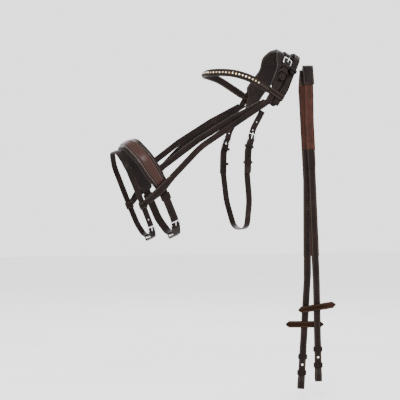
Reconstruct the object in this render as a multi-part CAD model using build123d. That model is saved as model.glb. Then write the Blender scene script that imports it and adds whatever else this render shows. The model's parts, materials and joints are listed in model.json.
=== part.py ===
from build123d import *
import os
from math import cos, hypot, pi, radians, sin, tan

# A bitless bridle with its reins, in the shape it has on a full-size horse's head.
# Millimetres. The origin is the middle of the crown pad's underside, where it rests on the poll.
# The nose points along -X, the near (left) side is -Y, and +Z is up.

# ---------------------------------------------------------------- leather, straps and gaps
strap_t = 2.5            # thickness of one layer of bridle leather
head_strap_w = 14.0      # crown, cheek and throat straps
chin_strap_w = 13.0
jaw_strap_w = 18.0
rein_w = 16.0            # leather forepart of a rein
grip_w = 20.0            # webbing grip of a rein
grip_t = 3.0
gap = 0.3                # free space between layers that only lie on each other
lap = 0.6                # free space round a strap inside a keeper
keeper_t = 1.6
keeper_l = 6.0

# ---------------------------------------------------------------- buckles
rod_r = 1.15             # radius of a buckle frame's wire
buckle_l = 16.0          # heel bar to front bar, between centre lines
frame_side = 1.4         # free space beside the strap inside a frame
pivot_gap = 0.05         # radial clearance of a tongue on its bar
tongue_wall = 1.1
tongue_w = 3.4
prong_r = 1.0
fold_t = 1.3             # skived leather where a strap folds round the heel bar
chape_l = 20.0           # length of the doubled end behind a heel bar
step_top = 0.5           # past the heel bar, towards the front bar: where a billet is fully up
step_foot = 3.5          # short of the front bar: where it starts to rise

# ---------------------------------------------------------------- crown, in its own tilted plane
crown_tilt = 32.0        # the crown leans forward from the vertical by this angle
pad_t = 8.0
poll_half = 19.0         # half of the flat top of the poll
shoulder = (41.0, 8.0)   # sideways and down: where the side of the head begins
temple = (77.0, 78.0)
crown_end = (77.0, 133.0)
strap_beside = head_strap_w / 2 + lap + keeper_t   # crown's middle to a strap's middle, past their keepers
front_strap_at = strap_beside
rear_strap_at = -strap_beside - 0.2
crown_join = 121.0       # down the crown's side: where the cheek straps begin

# ---------------------------------------------------------------- browband
brow_front = (-189.0, -35.0)   # X and Z of the band's middle on the forehead
brow_bow = 12.0                # how far the band arches up at the side of the forehead
brow_steps = 60
brow_w = 16.0
brow_t = 5.0
brow_loop_l = 14.0
brow_loop_at = 100.0
stone_r = 2.9
stone_pitch = 7.8
stone_count = 39

# ---------------------------------------------------------------- noseband, chin strap and jaw strap
nose_front = (-369.5, -200.0)
nose_tilt = 33.0
nose_half = 62.0
nose_depth = 117.0
nose_w = 39.0
lining_t = 5.0
facing_t = 3.5
ridge_w = 22.0
ridge_t = 3.0
jaw_top = (-309.0, -300.0)
jaw_tilt = 23.2
jaw_half = 63.0
jaw_depth = 98.0
side_keeper_at = 13.0    # down the jaw strap: the wide keeper below the connector
side_keeper_l = 15.0
chin_front = (-400.0, -216.0)
chin_tilt = 22.5
chin_half = 54.0
chin_depth = 194.0
connector_at = 124.0     # down the chin strap: where the connector's loop sits
connector_back = (-290.0, -268.0)
connector_w = 18.0
connector_t = 5.0

# ---------------------------------------------------------------- throatlatch
# X and Z down the side: where it swings, its bend, and the two ends of its lowest flat run.
throat_line = [(-84.0, -122.0), (-105.0, -160.0), (-119.0, -210.0), (-120.0, -262.0)]
throat_foot = (-107.0, -385.0)
throat_half = 77.0

# ---------------------------------------------------------------- reins
rein_turn = 18.0               # the reins cross the crest at this angle from straight across
crest_z = -28.0
crest_half = 17.0
hang_half = 45.0               # sideways, where the reins start to hang
hang_top = -60.0
rein_lie = 2.0                 # middle of the inner rein above the crest
rein_a_out = 10.0              # the outer rein lies this far outside the inner one
rein_a_route = [(51.7, hang_top), (53.0, -144.0), (58.0, -240.0), (68.4, -500.0), (73.1, -727.0)]
rein_b_route = [(45.0, hang_top), (46.0, -144.0), (48.0, -274.0), (48.6, -500.0), (34.0, -745.0)]
grip_end = -205.0
lap_l = 45.0
billet_loop = 12.0             # inside the folded end of a rein
billet_l = 94.0
stop_l = 86.0
stop_w = 15.0
stop_t = 3.0
stop_a_z = -561.0
stop_a_tilt = 9.3
stop_b_z = -600.0
stud_r = 1.6
stud_head_r = 2.4
hand_grip_end = -450.0
hand_bottom = -562.0
far_shift = 8.3                # the far halves hang this much further back than the near ones
rein_keeper_l = 11.0

# ---------------------------------------------------------------- levels above the surface a strap lies on
lie = keeper_t + lap / 2 + 0.2 + strap_t / 2          # middle of a strap, with room for keepers under it
bar_lift = rod_r + 0.2 + strap_t / 2                  # heel and front bar above that middle
over_lift = rod_r + 0.1 + fold_t + 0.4 + strap_t / 2  # a billet's middle above the heel bar
parts = {}


def tilted(front, angle):
    """A plane across the head through (X, Z): x is +Y, y runs down at the angle from the vertical."""
    down = Vector(sin(radians(angle)), 0, -cos(radians(angle)))
    return Plane(origin=(front[0], 0, front[1]), x_dir=(0, 1, 0), z_dir=Vector(0, 1, 0).cross(down))


def parallel(points, out):
    """A bent line moved to the right of its own direction, which is away from the head."""
    spots = [Vector(*p) for p in points]
    ways = [(b - a).normalized() for a, b in zip(spots, spots[1:])]
    sides = [Vector(w.Y, -w.X) for w in ways]
    before, after = [sides[0]] + sides, sides + [sides[-1]]
    return [p + (a + b) * (out / (1 + a.dot(b))) for p, a, b in zip(spots, before, after)]


def bent(points, radii):
    """A line with rounded corners; a radius is limited by the runs beside its corner."""
    spots = [Vector(*p) for p in points]
    if len(spots) == 2:
        return Line(*spots)
    wanted = radii if isinstance(radii, list) else [radii] * (len(spots) - 2)
    fitted = []
    for a, b, c, radius in zip(spots, spots[1:], spots[2:], wanted):
        turn = radians((b - a).get_angle(c - b))
        room = 0.48 * min((b - a).length, (c - b).length)
        fitted.append(min(radius, room / max(tan(turn / 2), 1e-3)))
    return FilletPolyline(*spots, radius=fitted)


def band(plane, points, radius, width, thick, across=0.0):
    """A strap bent in the plane, with its width along the plane's normal."""
    shifted = plane.offset(across)
    path = shifted * bent(points, radius)
    start = Plane(origin=path @ 0, x_dir=plane.z_dir, z_dir=path % 0)
    return sweep(start * Rectangle(width, thick), path=path)


def seat(plane, start, end, along, out=0.0, across=0.0):
    """A frame on the straight run from start to end: x along it, z away from the head."""
    start, end = Vector(*start), Vector(*end)
    way = (end - start).normalized()
    side = Vector(way.Y, -way.X)
    spot = start + way * along + side * out
    return Plane(
        origin=plane.origin + plane.x_dir * spot.X + plane.y_dir * spot.Y + plane.z_dir * across,
        x_dir=plane.x_dir * way.X + plane.y_dir * way.Y,
        z_dir=plane.x_dir * side.X + plane.y_dir * side.Y,
    )


def block(frame, low, high):
    """A box in a frame, from its lowest to its highest corner."""
    size = [b - a for a, b in zip(low, high)]
    middle = [(a + b) / 2 for a, b in zip(low, high)]
    return frame * (Pos(*middle) * Box(*size))


def keeper(frame, width, low, high, at, length=keeper_l):
    """A leather loop round whatever lies between low and high, centred at a place along the frame."""
    half = width / 2 + lap
    inner = block(frame, (at - length, -half, low - lap / 2), (at + length, half, high + lap / 2))
    outer = block(
        frame,
        (at - length / 2, -half - keeper_t, low - lap / 2 - keeper_t),
        (at + length / 2, half + keeper_t, high + lap / 2 + keeper_t),
    )
    return outer - inner


def buckle_frame(frame, width):
    """A round-cornered wire frame. The heel bar is on the frame's origin, across it."""
    half = width / 2 + frame_side + rod_r
    corner = 3.0
    outline = Pos(buckle_l / 2, 0) * RectangleRounded(buckle_l, 2 * half, corner)
    wire = outline.wire()
    start = Plane(origin=wire @ 0, z_dir=wire % 0)
    return frame * sweep(start * Circle(rod_r), path=wire)


def buckle_tongue(frame):
    """A prong with a sleeve that turns on the heel bar and a tip that lies on the front bar."""
    inside = rod_r + pivot_gap
    sleeve = Cylinder(inside + tongue_wall, tongue_w, rotation=(90, 0, 0))
    rise = rod_r + 0.2 + prong_r
    reach = buckle_l + rod_r + 0.6
    prong = Pos(reach / 2, 0, rise) * Cylinder(prong_r, reach, rotation=(0, 90, 0))
    tip = Pos(reach, 0, rise) * Sphere(prong_r)
    bore = Cylinder(inside, 2 * tongue_w, rotation=(90, 0, 0))
    return frame * (sleeve + prong + tip - bore)


def chape(frame, width, length):
    """The doubled end of a strap round a heel bar, with a slot for the tongue."""
    wrap = rod_r + 0.1 + fold_t
    low = -bar_lift - strap_t / 2
    end = Cylinder(wrap, width, rotation=(90, 0, 0))
    body = block(Plane.XY, (-length, -width / 2, low), (0, width / 2, wrap))
    hole = Cylinder(rod_r + 0.1, 2 * width, rotation=(90, 0, 0))
    slot_w = tongue_w / 2 + 0.5
    slot = block(Plane.XY, (-wrap - 4.0, -slot_w, -2 * wrap), (wrap + 1.0, slot_w, wrap + 1.0))
    under = block(Plane.XY, (-wrap, -width, low - 1.0), (wrap + 1.0, width, -wrap))
    return frame * (body + end - hole - slot - under)


def ribbon(spots, outs, width, thick):
    """A strap lofted through rectangles at the spots, each facing its out direction."""
    faces = []
    for n, spot in enumerate(spots):
        along = (spots[min(n + 1, len(spots) - 1)] - spots[max(n - 1, 0)]).normalized()
        out = (outs[n] - along * outs[n].dot(along)).normalized()
        faces.append(Plane(origin=spot, x_dir=out, z_dir=along) * Rectangle(thick, width))
    return loft(faces, ruled=True)


def prong_slot(frame):
    """The room that a tongue needs in the billet that it passes through."""
    half = prong_r + 0.6
    return block(frame, (-5.5, -half, -bar_lift - strap_t), (buckle_l - 3.0, half, 12.0))


def both_sides(name, solid):
    parts["near_" + name] = solid
    parts["off_" + name] = mirror(solid, about=Plane.XZ)


# ================================================================ crown
crown = tilted((0, 0), -crown_tilt)
off_line = [(poll_half, 0), shoulder, temple, crown_end]
crown_line = [(-x, y) for x, y in reversed(off_line)] + off_line
crown_radii = [28.0, 14.0, 18.0, 18.0, 14.0, 28.0]
strap_out = pad_t + lie
bar_out = strap_out + bar_lift
billet_out = bar_out + over_lift
low_line = parallel(crown_line, strap_out)
high_line = parallel(crown_line, billet_out)


def grown(radii, out):
    return [r + out for r in radii]


def crown_pad():
    """The padded crown: wide between the ears, cut back for them, with a tab below each ear."""
    front_flare, front_edge, rear_edge = 36.0, 23.0, -21.0
    width = front_flare - rear_edge
    middle = (front_flare + rear_edge) / 2
    line = parallel(crown_line, pad_t / 2)
    whole = band(crown, line, grown(crown_radii, pad_t / 2), width, pad_t, middle)
    side = Plane(origin=(0, 0, 0), x_dir=crown.y_dir, z_dir=(0, 1, 0))
    outline = FilletPolyline(
        (-30, rear_edge), (92, rear_edge), (118, -17), (132, -12), (128, 2), (110, 6), (88, front_edge),
        (46, front_edge), (14, front_flare), (-30, front_flare), radius=4.0, close=True,
    )
    shape = extrude(side * make_face(outline), amount=crown_end[0] + 3 * pad_t, both=True)
    return whole & shape


# The straight runs that fittings sit on, from below upwards.
side_start, side_end = crown_line[1], crown_line[2]
side_run = hypot(side_end[0] - side_start[0], side_end[1] - side_start[1])
tail_start, tail_end = crown_line[0], crown_line[1]
tail_run = hypot(tail_end[0] - tail_start[0], tail_end[1] - tail_start[1])
front_heel = side_run - buckle_l - 8.0
front_bar = seat(crown, side_start, side_end, front_heel, bar_out, front_strap_at)
rear_bar = seat(crown, (-poll_half, 0), (poll_half, 0), poll_half - buckle_l / 2, bar_out, rear_strap_at)


def up_tail(depth):
    """How far up the run below the temple a given depth of the crown is."""
    return tail_run * (crown_end[1] - depth) / (crown_end[1] - temple[1])


def loop_frame(across, out=0.0):
    """The frame of the browband loop on the crown's side, below the temple."""
    return seat(crown, tail_start, tail_end, up_tail(brow_loop_at), out, across)


def on_run(start, end, along, out):
    """A point of the crown's plane above a straight run."""
    start, end = Vector(*start), Vector(*end)
    way = (end - start).normalized()
    return start + way * along + Vector(way.Y, -way.X) * out


# Front strap: a billet from over the poll runs down the near side through the front buckle.
join_point = on_run(tail_start, tail_end, up_tail(crown_join), strap_out)
off_join = (-join_point.X, join_point.Y)
front_tip = on_run(side_start, side_end, 1.0, billet_out)
front_path = [
    front_tip,
    on_run(side_start, side_end, front_heel + step_top, billet_out),
    on_run(side_start, side_end, front_heel + buckle_l - step_foot, strap_out),
    *low_line[2:7],
    off_join,
]
front_radii = [6.0, 6.0, 20.0, 26.0, 26.0, 22.0, 36.0]
front_crown = band(crown, front_path, front_radii, head_strap_w, strap_t, front_strap_at)
front_crown -= prong_slot(front_bar)
hanger_top = on_run(side_start, side_end, front_heel - chape_l + 2.0, strap_out)
front_hanger = band(crown, [join_point, low_line[1], hanger_top], 36.0, head_strap_w, strap_t, front_strap_at)
front_hanger += chape(front_bar, head_strap_w, chape_l)

# Rear strap: its billet comes over the poll from the off side and ends on the near side.
rear_heel_x = -buckle_l / 2
rear_path = [
    on_run(side_start, side_end, side_run - 44.0, billet_out),
    *high_line[2:4],
    (rear_heel_x + step_top, -billet_out),
    (rear_heel_x + buckle_l - step_foot, -strap_out),
    *low_line[4:7],
    off_join,
]
rear_radii = [30.0, 30.0, 4.5, 4.5, 8.0, 22.0, 36.0]
rear_crown = band(crown, rear_path, rear_radii, head_strap_w, strap_t, rear_strap_at)
rear_crown -= prong_slot(rear_bar)
rear_chape_l = 7.0
rear_low = [join_point, low_line[1], low_line[2], low_line[3], (rear_heel_x - rear_chape_l + 1.0, -strap_out)]
near_rear = band(crown, rear_low, [36.0, 22.0, 4.0], head_strap_w, strap_t, rear_strap_at)
near_rear += chape(rear_bar, head_strap_w, rear_chape_l)
shoulder_seat = seat(crown, crown_line[2], crown_line[3], 12.0, strap_out, rear_strap_at)
rear_side_seat = seat(crown, side_start, side_end, side_run - 32.0, strap_out, rear_strap_at)
stack = (-strap_t / 2, bar_lift + over_lift + strap_t / 2)
parts["rear_keepers"] = Compound([
    keeper(shoulder_seat, head_strap_w, *stack, 0.0),
    keeper(rear_side_seat, head_strap_w, *stack, 0.0),
])
front_seat = seat(crown, side_start, side_end, front_heel, strap_out, front_strap_at)
parts["front_fixed_keeper"] = keeper(front_seat, head_strap_w, *stack, -11.0)
parts["front_runner"] = keeper(front_seat, head_strap_w, *stack, -29.0)
parts["front_buckle_frame"] = buckle_frame(front_bar, head_strap_w)
parts["front_buckle_tongue"] = buckle_tongue(front_bar)
parts["rear_buckle_frame"] = buckle_frame(rear_bar, head_strap_w)
parts["rear_buckle_tongue"] = buckle_tongue(rear_bar)

# ================================================================ noseband
nose = tilted(nose_front, nose_tilt)
nose_near = [(-nose_half, nose_depth), (-nose_half + 3, 36), (-26, 0)]
nose_line = nose_near + [(-x, y) for x, y in reversed(nose_near)]
nose_radii = [34.0, 30.0, 30.0, 34.0]


def nose_layer(low, thick, width):
    out = low + thick / 2
    return band(nose, parallel(nose_line, out), grown(nose_radii, out), width, thick)


lining = nose_layer(0.0, lining_t, nose_w)
facing = nose_layer(lining_t, facing_t, nose_w - 3.0) + nose_layer(lining_t + facing_t, ridge_t, ridge_w)

parts["crown_pad"] = crown_pad()
parts["rear_crown_strap"] = rear_crown
parts["near_rear_strap"] = near_rear

# ================================================================ chin strap
chin = tilted(chin_front, chin_tilt)
chin_near = [
    (-14, chin_depth), (-33, chin_depth - 4), (-chin_half + 3, chin_depth - 25),
    (-chin_half, 108), (-chin_half + 3, 32), (-22, 0),
]
chin_line = chin_near + [(-x, y) for x, y in reversed(chin_near)]
chin_low = parallel(chin_line, lie)
chin_high = parallel(chin_line, lie + bar_lift + over_lift)


def buckled(plane, line, low, high):
    """A strap's buckle on the run from line[1] to line[2]: its frame, both strap ends and a seat."""
    start, end = line[1], line[2]
    run = hypot(end[0] - start[0], end[1] - start[1])
    heel = run - buckle_l - 3.0
    frame = seat(plane, start, end, heel, lie + bar_lift)
    top = lie + bar_lift + over_lift
    tip = [(10, high[0].Y), high[0], high[1], on_run(start, end, heel + step_top, top)]
    billet = tip + [on_run(start, end, heel + buckle_l - step_foot, lie)]
    under = [low[0], low[1], on_run(start, end, heel - 5.0, lie)]
    return frame, billet, under


chin_bar, chin_billet, chin_under = buckled(chin, chin_line, chin_low, chin_high)
chin_path = chin_billet + chin_low[2:12] + chin_under
chin_radii = [24.0, 24.0, 4.0, 4.0] + [28.0, 60.0, 34.0, 34.0, 34.0, 34.0, 60.0, 28.0, 24.0, 24.0, 24.0, 24.0]
chin_strap = band(chin, chin_path, chin_radii, chin_strap_w, strap_t)
chin_strap += chape(chin_bar, chin_strap_w, 8.0)
parts["chin_strap"] = chin_strap - prong_slot(chin_bar)
parts["chin_buckle_frame"] = buckle_frame(chin_bar, chin_strap_w)
parts["chin_buckle_tongue"] = buckle_tongue(chin_bar)
chin_seat = seat(chin, chin_line[11], chin_line[0], 14.0, lie)
parts["chin_keeper"] = keeper(chin_seat, chin_strap_w, *stack, 0.0)

# ================================================================ jaw strap
jaw = tilted(jaw_top, jaw_tilt)
jaw_near = [(-12, jaw_depth), (-30, jaw_depth - 4), (-60, 66), (-jaw_half, -4)]
jaw_line = jaw_near + [(-x, y) for x, y in reversed(jaw_near)]
jaw_low = parallel(jaw_line, lie)
jaw_high = parallel(jaw_line, lie + bar_lift + over_lift)
jaw_bar, jaw_billet, jaw_under = buckled(jaw, jaw_line, jaw_low, jaw_high)
near_jaw = band(jaw, jaw_billet + jaw_low[2:4], [20.0, 24.0, 4.0, 4.0, 26.0], jaw_strap_w, strap_t)
off_jaw = band(jaw, jaw_low[4:8] + jaw_under, [30.0, 30.0, 24.0, 24.0, 20.0], jaw_strap_w, strap_t)
off_jaw += chape(jaw_bar, jaw_strap_w, 9.0)
parts["near_jaw_strap"] = near_jaw - prong_slot(jaw_bar) - lining - facing
parts["off_jaw_strap"] = off_jaw - lining - facing
parts["jaw_buckle_frame"] = buckle_frame(jaw_bar, jaw_strap_w)
parts["jaw_buckle_tongue"] = buckle_tongue(jaw_bar)
jaw_seat = seat(jaw, jaw_line[7], jaw_line[0], 12.0, lie)
parts["jaw_keeper"] = keeper(jaw_seat, jaw_strap_w, *stack, 0.0)

# ================================================================ connectors
loop_seat = seat(chin, chin_line[2], chin_line[3], chin_line[2][1] - connector_at, lie)
front_spot = loop_seat.origin
nose_out = lining_t + facing_t + ridge_t + keeper_t + lap
link_dir = Vector(front_spot.X - connector_back[0], 0, front_spot.Z - connector_back[1])
link_run = link_dir.length
link_origin = (connector_back[0], 0, connector_back[1])
link = Plane(origin=link_origin, x_dir=link_dir, z_dir=link_dir.cross(Vector(0, -1, 0)))
link_out = nose_half + nose_out + connector_t / 2
loop_top = chin_half + lie + strap_t / 2 + lap / 2 + keeper_t / 2
bar_line = [(0, link_out), (link_run * 0.62, link_out)]
bar_line += [(link_run * 0.86, loop_top + 2.0), (link_run, loop_top)]
connector = band(link, bar_line, 25.0, connector_w, connector_t)
loop_size = (chin_strap_w, -strap_t / 2, strap_t / 2, 0.0)
eye_size = (connector_w, chin_strap_w / 2 + lap, strap_t / 2 + lap / 2)
eye = block(loop_seat, [-v for v in eye_size], eye_size)
inside = block(loop_seat, (-connector_w, -connector_w, -20.0), (connector_w, connector_w, 0.0))
connector = (connector - inside - eye) + keeper(loop_seat, *loop_size, length=connector_w - 2.0)
both_sides("connector", connector)
side_seat = seat(jaw, jaw_line[2], jaw_line[3], jaw_line[2][1] - side_keeper_at, lie)
side_keeper = keeper(side_seat, jaw_strap_w, -strap_t / 2, strap_t / 2, 0.0, side_keeper_l)
parts["side_keepers"] = Compound([side_keeper, mirror(side_keeper, about=Plane.XZ)])

# ================================================================ cheek straps


def side_plane(start, end):
    """A plane that lies on the near cheek, with x from start to end and z away from the head."""
    along = (end - start).normalized()
    out = (Vector(0, -1, 0) - along * Vector(0, -1, 0).dot(along)).normalized()
    return Plane(origin=start, x_dir=along, z_dir=out)


def flat_strap(plane, points, radius, width, thick, low):
    """A strap cut flat to a curved line in a plane."""
    line = bent(points, radius)
    return extrude(plane.offset(low) * trace(line, line_width=width), amount=thick)


cheek_start = crown.from_local_coords(Vector(join_point.X, join_point.Y, front_strap_at))
cheek_end = Vector(connector_back[0], -link_out, connector_back[1])
cheek = side_plane(cheek_start, cheek_end)
cheek_run = (cheek_end - cheek_start).length
# y is up the face in this plane: both straps sag a little towards the jaw.
lower_route = [(-5, 2), (cheek_run * 0.3, -5), (cheek_run * 0.68, -13), (cheek_run + 4, 0)]
lower_strap = flat_strap(cheek, lower_route, 150.0, head_strap_w, strap_t, -strap_t / 2)
lower_strap = lower_strap - connector - near_rear
upper_start = cheek_start + Vector(0, strap_t + gap, 0)
upper_end = Vector(-323.0, -(nose_half + lining_t - 1.0), -256.0)
upper_run = (upper_end - upper_start).length
upper_route = [(8, -1), (upper_run * 0.3, -8), (upper_run * 0.62, -9), (upper_run, 0)]
upper_cheek = side_plane(upper_start, upper_end)
upper_strap = flat_strap(upper_cheek, upper_route, 150.0, head_strap_w, strap_t, -strap_t / 2)
upper_strap = upper_strap - lining - facing - parts["crown_pad"]
both_sides("upper_cheek_strap", upper_strap)
parts["near_cheek_strap"] = front_hanger + lower_strap
parts["front_crown_strap"] = front_crown + mirror(lower_strap, about=Plane.XZ)
parts["noseband_lining"] = lining
parts["noseband_facing"] = facing

# ================================================================ browband
brow_back = loop_frame(0.0).origin
brow_dir = Vector(brow_front[0] - brow_back.X, 0, brow_front[1] - brow_back.Z)
brow_depth = brow_dir.length
brow = Plane(origin=(brow_back.X, 0, brow_back.Z), x_dir=(0, 1, 0), z_dir=Vector(0, 1, 0).cross(brow_dir))
brow_half = temple[0] + lie + pad_t
brow_near = [(-brow_half, 12), (-brow_half + 1, 62), (-61, 114), (-26, brow_depth)]
brow_line = brow_near + [(-x, y) for x, y in reversed(brow_near)]
brow_radii = [80.0, 60.0, 45.0, 45.0, 60.0, 80.0]


def brow_route(out, start=0.0):
    """The band's line in its plane, moved outwards, from a distance past its near end."""
    line = parallel(brow_line, -out)
    line[0] += Vector(0, start)
    line[-1] += Vector(0, start)
    return bent(line, grown(brow_radii, out))


def brow_place(route, share):
    """A spot on the arched band, and the way out from the forehead there."""
    spot, way = route @ share, route % share
    rise = brow_bow * sin(pi * (spot.Y / brow_depth) ** 1.3) if 0 < spot.Y < brow_depth else 0.0
    return brow.from_local_coords(Vector(spot.X, spot.Y, rise)), brow.x_dir * -way.Y + brow.y_dir * way.X


def brow_ribbon(route, width, thick):
    places = [brow_place(route, n / brow_steps) for n in range(brow_steps + 1)]
    return ribbon([spot for spot, _ in places], [out for _, out in places], width, thick)


brow_strip = brow_ribbon(brow_route(0.0), brow_w, brow_t)
pair_w = front_strap_at - rear_strap_at + head_strap_w
pair_frame = loop_frame((front_strap_at + rear_strap_at) / 2, strap_out)
brow_loop = keeper(pair_frame, pair_w, -strap_t / 2, strap_t / 2, 0.0, brow_loop_l)
core = (20.0, pair_w / 2 + lap, strap_t / 2 + lap / 2)
loop_core = block(pair_frame, [-v for v in core], core)
loops = brow_loop + mirror(brow_loop, about=Plane.XZ)
cores = loop_core + mirror(loop_core, about=Plane.XZ)
parts["browband"] = brow_strip - cores + loops
channel_t = 1.5
channel_route = brow_route((brow_t + channel_t) / 2, 10.0)
parts["browband_channel"] = brow_ribbon(channel_route, 9.0, channel_t) - parts["browband"]


def stones():
    """A row of domes along the middle of the channel, each seated on its surface."""
    route = brow_route(brow_t / 2 + channel_t - 0.3)
    dome = Sphere(stone_r, 0, 90, align=(Align.CENTER, Align.CENTER, Align.MIN))
    row = []
    for n in range(stone_count):
        share = 0.5 + (n - (stone_count - 1) / 2) * stone_pitch / route.length
        spot, out = brow_place(route, share)
        ahead = brow_place(route, share + 0.004)[0]
        seated = Plane(origin=spot, x_dir=ahead - spot, z_dir=out) * dome
        row.append(seated - parts["browband_channel"])
    return Compound(row)


parts["browband_stones"] = stones()

# ================================================================ throatlatch
swing_at, throat_bend, throat_low, throat_end = [Vector(x, -throat_half - lie, z) for x, z in throat_line]
buckle_way = (throat_low - throat_bend).normalized()
throat_heel = throat_bend + buckle_way * (buckle_l + 14.0)
throat_frame = Plane(origin=throat_heel + Vector(0, -bar_lift, 0), x_dir=-buckle_way, z_dir=(0, -1, 0))
side_face = Plane(origin=(0, -throat_half - lie, 0), x_dir=(1, 0, 0), z_dir=(0, -1, 0))


def flat_points(spots):
    return [tuple(side_face.to_local_coords(spot))[:2] for spot in spots]


def side_strap(spots, radius, level):
    """A flat strap down the near side of the throat, at a level above the strap that lies lowest."""
    return flat_strap(side_face, flat_points(spots), radius, head_strap_w, strap_t, level - strap_t / 2)


top_level = bar_lift + over_lift
entry = throat_heel - buckle_way * (buckle_l - step_foot + 4.0)
step_plane = Plane(origin=entry, x_dir=buckle_way, z_dir=Vector(buckle_way).cross(Vector(0, -1, 0)))
step_run = buckle_l - step_foot - step_top
step_line = [(0, 0), (4, 0), (4 + step_run, top_level), (8 + step_run, top_level)]
throat_billet = side_strap([swing_at, throat_bend, entry], 60.0, 0.0)
throat_billet += band(step_plane, step_line, 4.0, head_strap_w, strap_t)
billet_top = entry + buckle_way * (8 + step_run)
throat_billet += side_strap([billet_top, throat_low, throat_end], 90.0, top_level)
both_sides("throat_billet", throat_billet - prong_slot(throat_frame))
lead = (throat_end - throat_low).normalized()
throat_side = side_strap([throat_heel + buckle_way * 8.0, throat_low, throat_end + lead * 1.0], 90.0, 0.0)
throat_side += chape(throat_frame, head_strap_w, 18.0)
foot_dir = Vector(throat_foot[0] - throat_end.X, 0, throat_foot[1] - throat_end.Z)
under = Plane(origin=(throat_end.X, 0, throat_end.Z), x_dir=(0, 1, 0), z_dir=Vector(0, 1, 0).cross(foot_dir))
half_out = throat_half + lie
foot = foot_dir.length
under_line = [(-half_out, 0), (-half_out + 3, 60), (-half_out + 34, foot - 8), (-18, foot)]
under_line = under_line + [(-x, y) for x, y in reversed(under_line)]
throat_strap = band(under, under_line, 60.0, head_strap_w, strap_t)
parts["throatlatch"] = throat_side + throat_strap + mirror(throat_side, about=Plane.XZ)
throat_buckle = buckle_frame(throat_frame, head_strap_w)
parts["throat_buckle_frames"] = Compound([throat_buckle, mirror(throat_buckle, about=Plane.XZ)])
both_sides("throat_tongue", buckle_tongue(throat_frame))
fixed_spot = Plane(origin=throat_heel + buckle_way * 12.0, x_dir=buckle_way, z_dir=(0, -1, 0))
throat_keeper = keeper(fixed_spot, head_strap_w, *stack, 0.0)
runner_spot = Plane(origin=throat_low + lead * 26.0, x_dir=lead, z_dir=(0, -1, 0))
parts["throat_keepers"] = Compound([throat_keeper, mirror(throat_keeper, about=Plane.XZ)])
both_sides("throat_runner", keeper(runner_spot, head_strap_w, *stack, 0.0))

# ================================================================ reins
across_dir = Vector(sin(radians(rein_turn)), cos(radians(rein_turn)), 0)
face_dir = Vector(cos(radians(rein_turn)), -sin(radians(rein_turn)), 0)
crest_plane = Plane(origin=(0, 0, 0), x_dir=across_dir, z_dir=-face_dir)
near_crest = [(-hang_half, -hang_top), (-crest_half, -crest_z)]
crest_line = near_crest + [(-x, y) for x, y in reversed(near_crest)]
pivot_z = hang_top - 12.0
pivot_half_gap = 1.2
level_b = rein_lie
level_a = rein_lie + rein_a_out
out_a = hang_half + level_a
out_b = hang_half + level_b


def rein_face(out):
    """The upright plane that a hanging rein lies in; x runs back along the neck and y up."""
    return Plane(origin=across_dir * out, x_dir=face_dir, z_dir=-across_dir)


def crest_part(w, level):
    """The stretch of webbing that lies over the crest, down to where the rein can swing."""
    end = -pivot_z - pivot_half_gap
    line = parallel([(-hang_half, -hang_top + 5), *crest_line, (hang_half, -hang_top + 5)], level)
    line[0] = Vector(line[0].X, end)
    line[-1] = Vector(line[-1].X, end)
    return band(crest_plane, line, 12.0, grip_w, grip_t, -w)


def route_from(route, top, bottom):
    """The part of a route between two heights."""
    cut = []
    for (w0, z0), (w1, z1) in zip(route, route[1:]):
        for z in (top, bottom):
            if z1 <= z <= z0:
                cut.append((w0 + (w1 - w0) * (z - z0) / (z1 - z0), z))
        if bottom < z1 < top:
            cut.append((w1, z1))
    return sorted(set(cut), key=lambda p: -p[1])


def hanging(route, out, top, bottom, width, thick):
    return flat_strap(rein_face(out), route_from(route, top, bottom), 150.0, width, thick, -thick / 2)


class ReinEnd:
    """The frame of a rein's straight lower end: x runs up the rein from its foot and z outwards."""

    def __init__(self, route, out):
        face = rein_face(out)
        self.foot = face.from_local_coords(Vector(*route[-1]))
        self.up = (face.from_local_coords(Vector(*route[-2])) - self.foot).normalized()
        self.out = across_dir * -1

    def at(self, along):
        return Plane(origin=self.foot + self.up * along, x_dir=self.up, z_dir=self.out)

    def edge(self):
        return Plane(origin=self.foot, x_dir=self.up, z_dir=self.up.cross(self.out))


billet_step = strap_t + gap
stud_at = 54.0
rein_keepers_at = (36.0, 72.0)


def rein_leather(route, out):
    """A rein's leather: a thick sewn tab at the grip, and a billet folded up at the foot."""
    end = ReinEnd(route, out)
    side = (billet_loop + strap_t - billet_step) / 2
    far = billet_step + side
    turned = [(15, -side), (0, -side), (0, far), (15, far)]
    fold = [(100, 0), (29, 0), *turned, (29, billet_step), (billet_l, billet_step)]
    body = band(end.edge(), fold, [12.0, 12.0, 7.0, 7.0, 12.0, 12.0], rein_w, strap_t)
    body += hanging(route, out, grip_end, end.at(99.0).origin.Z, rein_w, strap_t)
    body += hanging(route, out, grip_end, grip_end - lap_l, rein_w + 2.0, strap_t + 2.6)
    return body - end.at(stud_at) * Cylinder(stud_r + 0.2, 20.0)


def hook_stud(route, out):
    frame = ReinEnd(route, out).at(stud_at)
    low = -strap_t / 2 - 0.1
    high = billet_step + strap_t / 2 + 0.1
    post = Pos(0, 0, (low + high) / 2) * Cylinder(stud_r, high - low + 1.0)
    post += Pos(0, 0, low - 0.5) * Cylinder(4.0, 1.0)
    return frame * (post + Pos(0, 0, high + 0.6) * Cylinder(stud_head_r, 1.2))


def rein_keepers(route, out):
    end = ReinEnd(route, out)
    high = billet_step + strap_t / 2
    spots = [end.at(at) for at in rein_keepers_at]
    return Compound([keeper(spot, rein_w, -strap_t / 2, high, 0.0, rein_keeper_l) for spot in spots])


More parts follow.
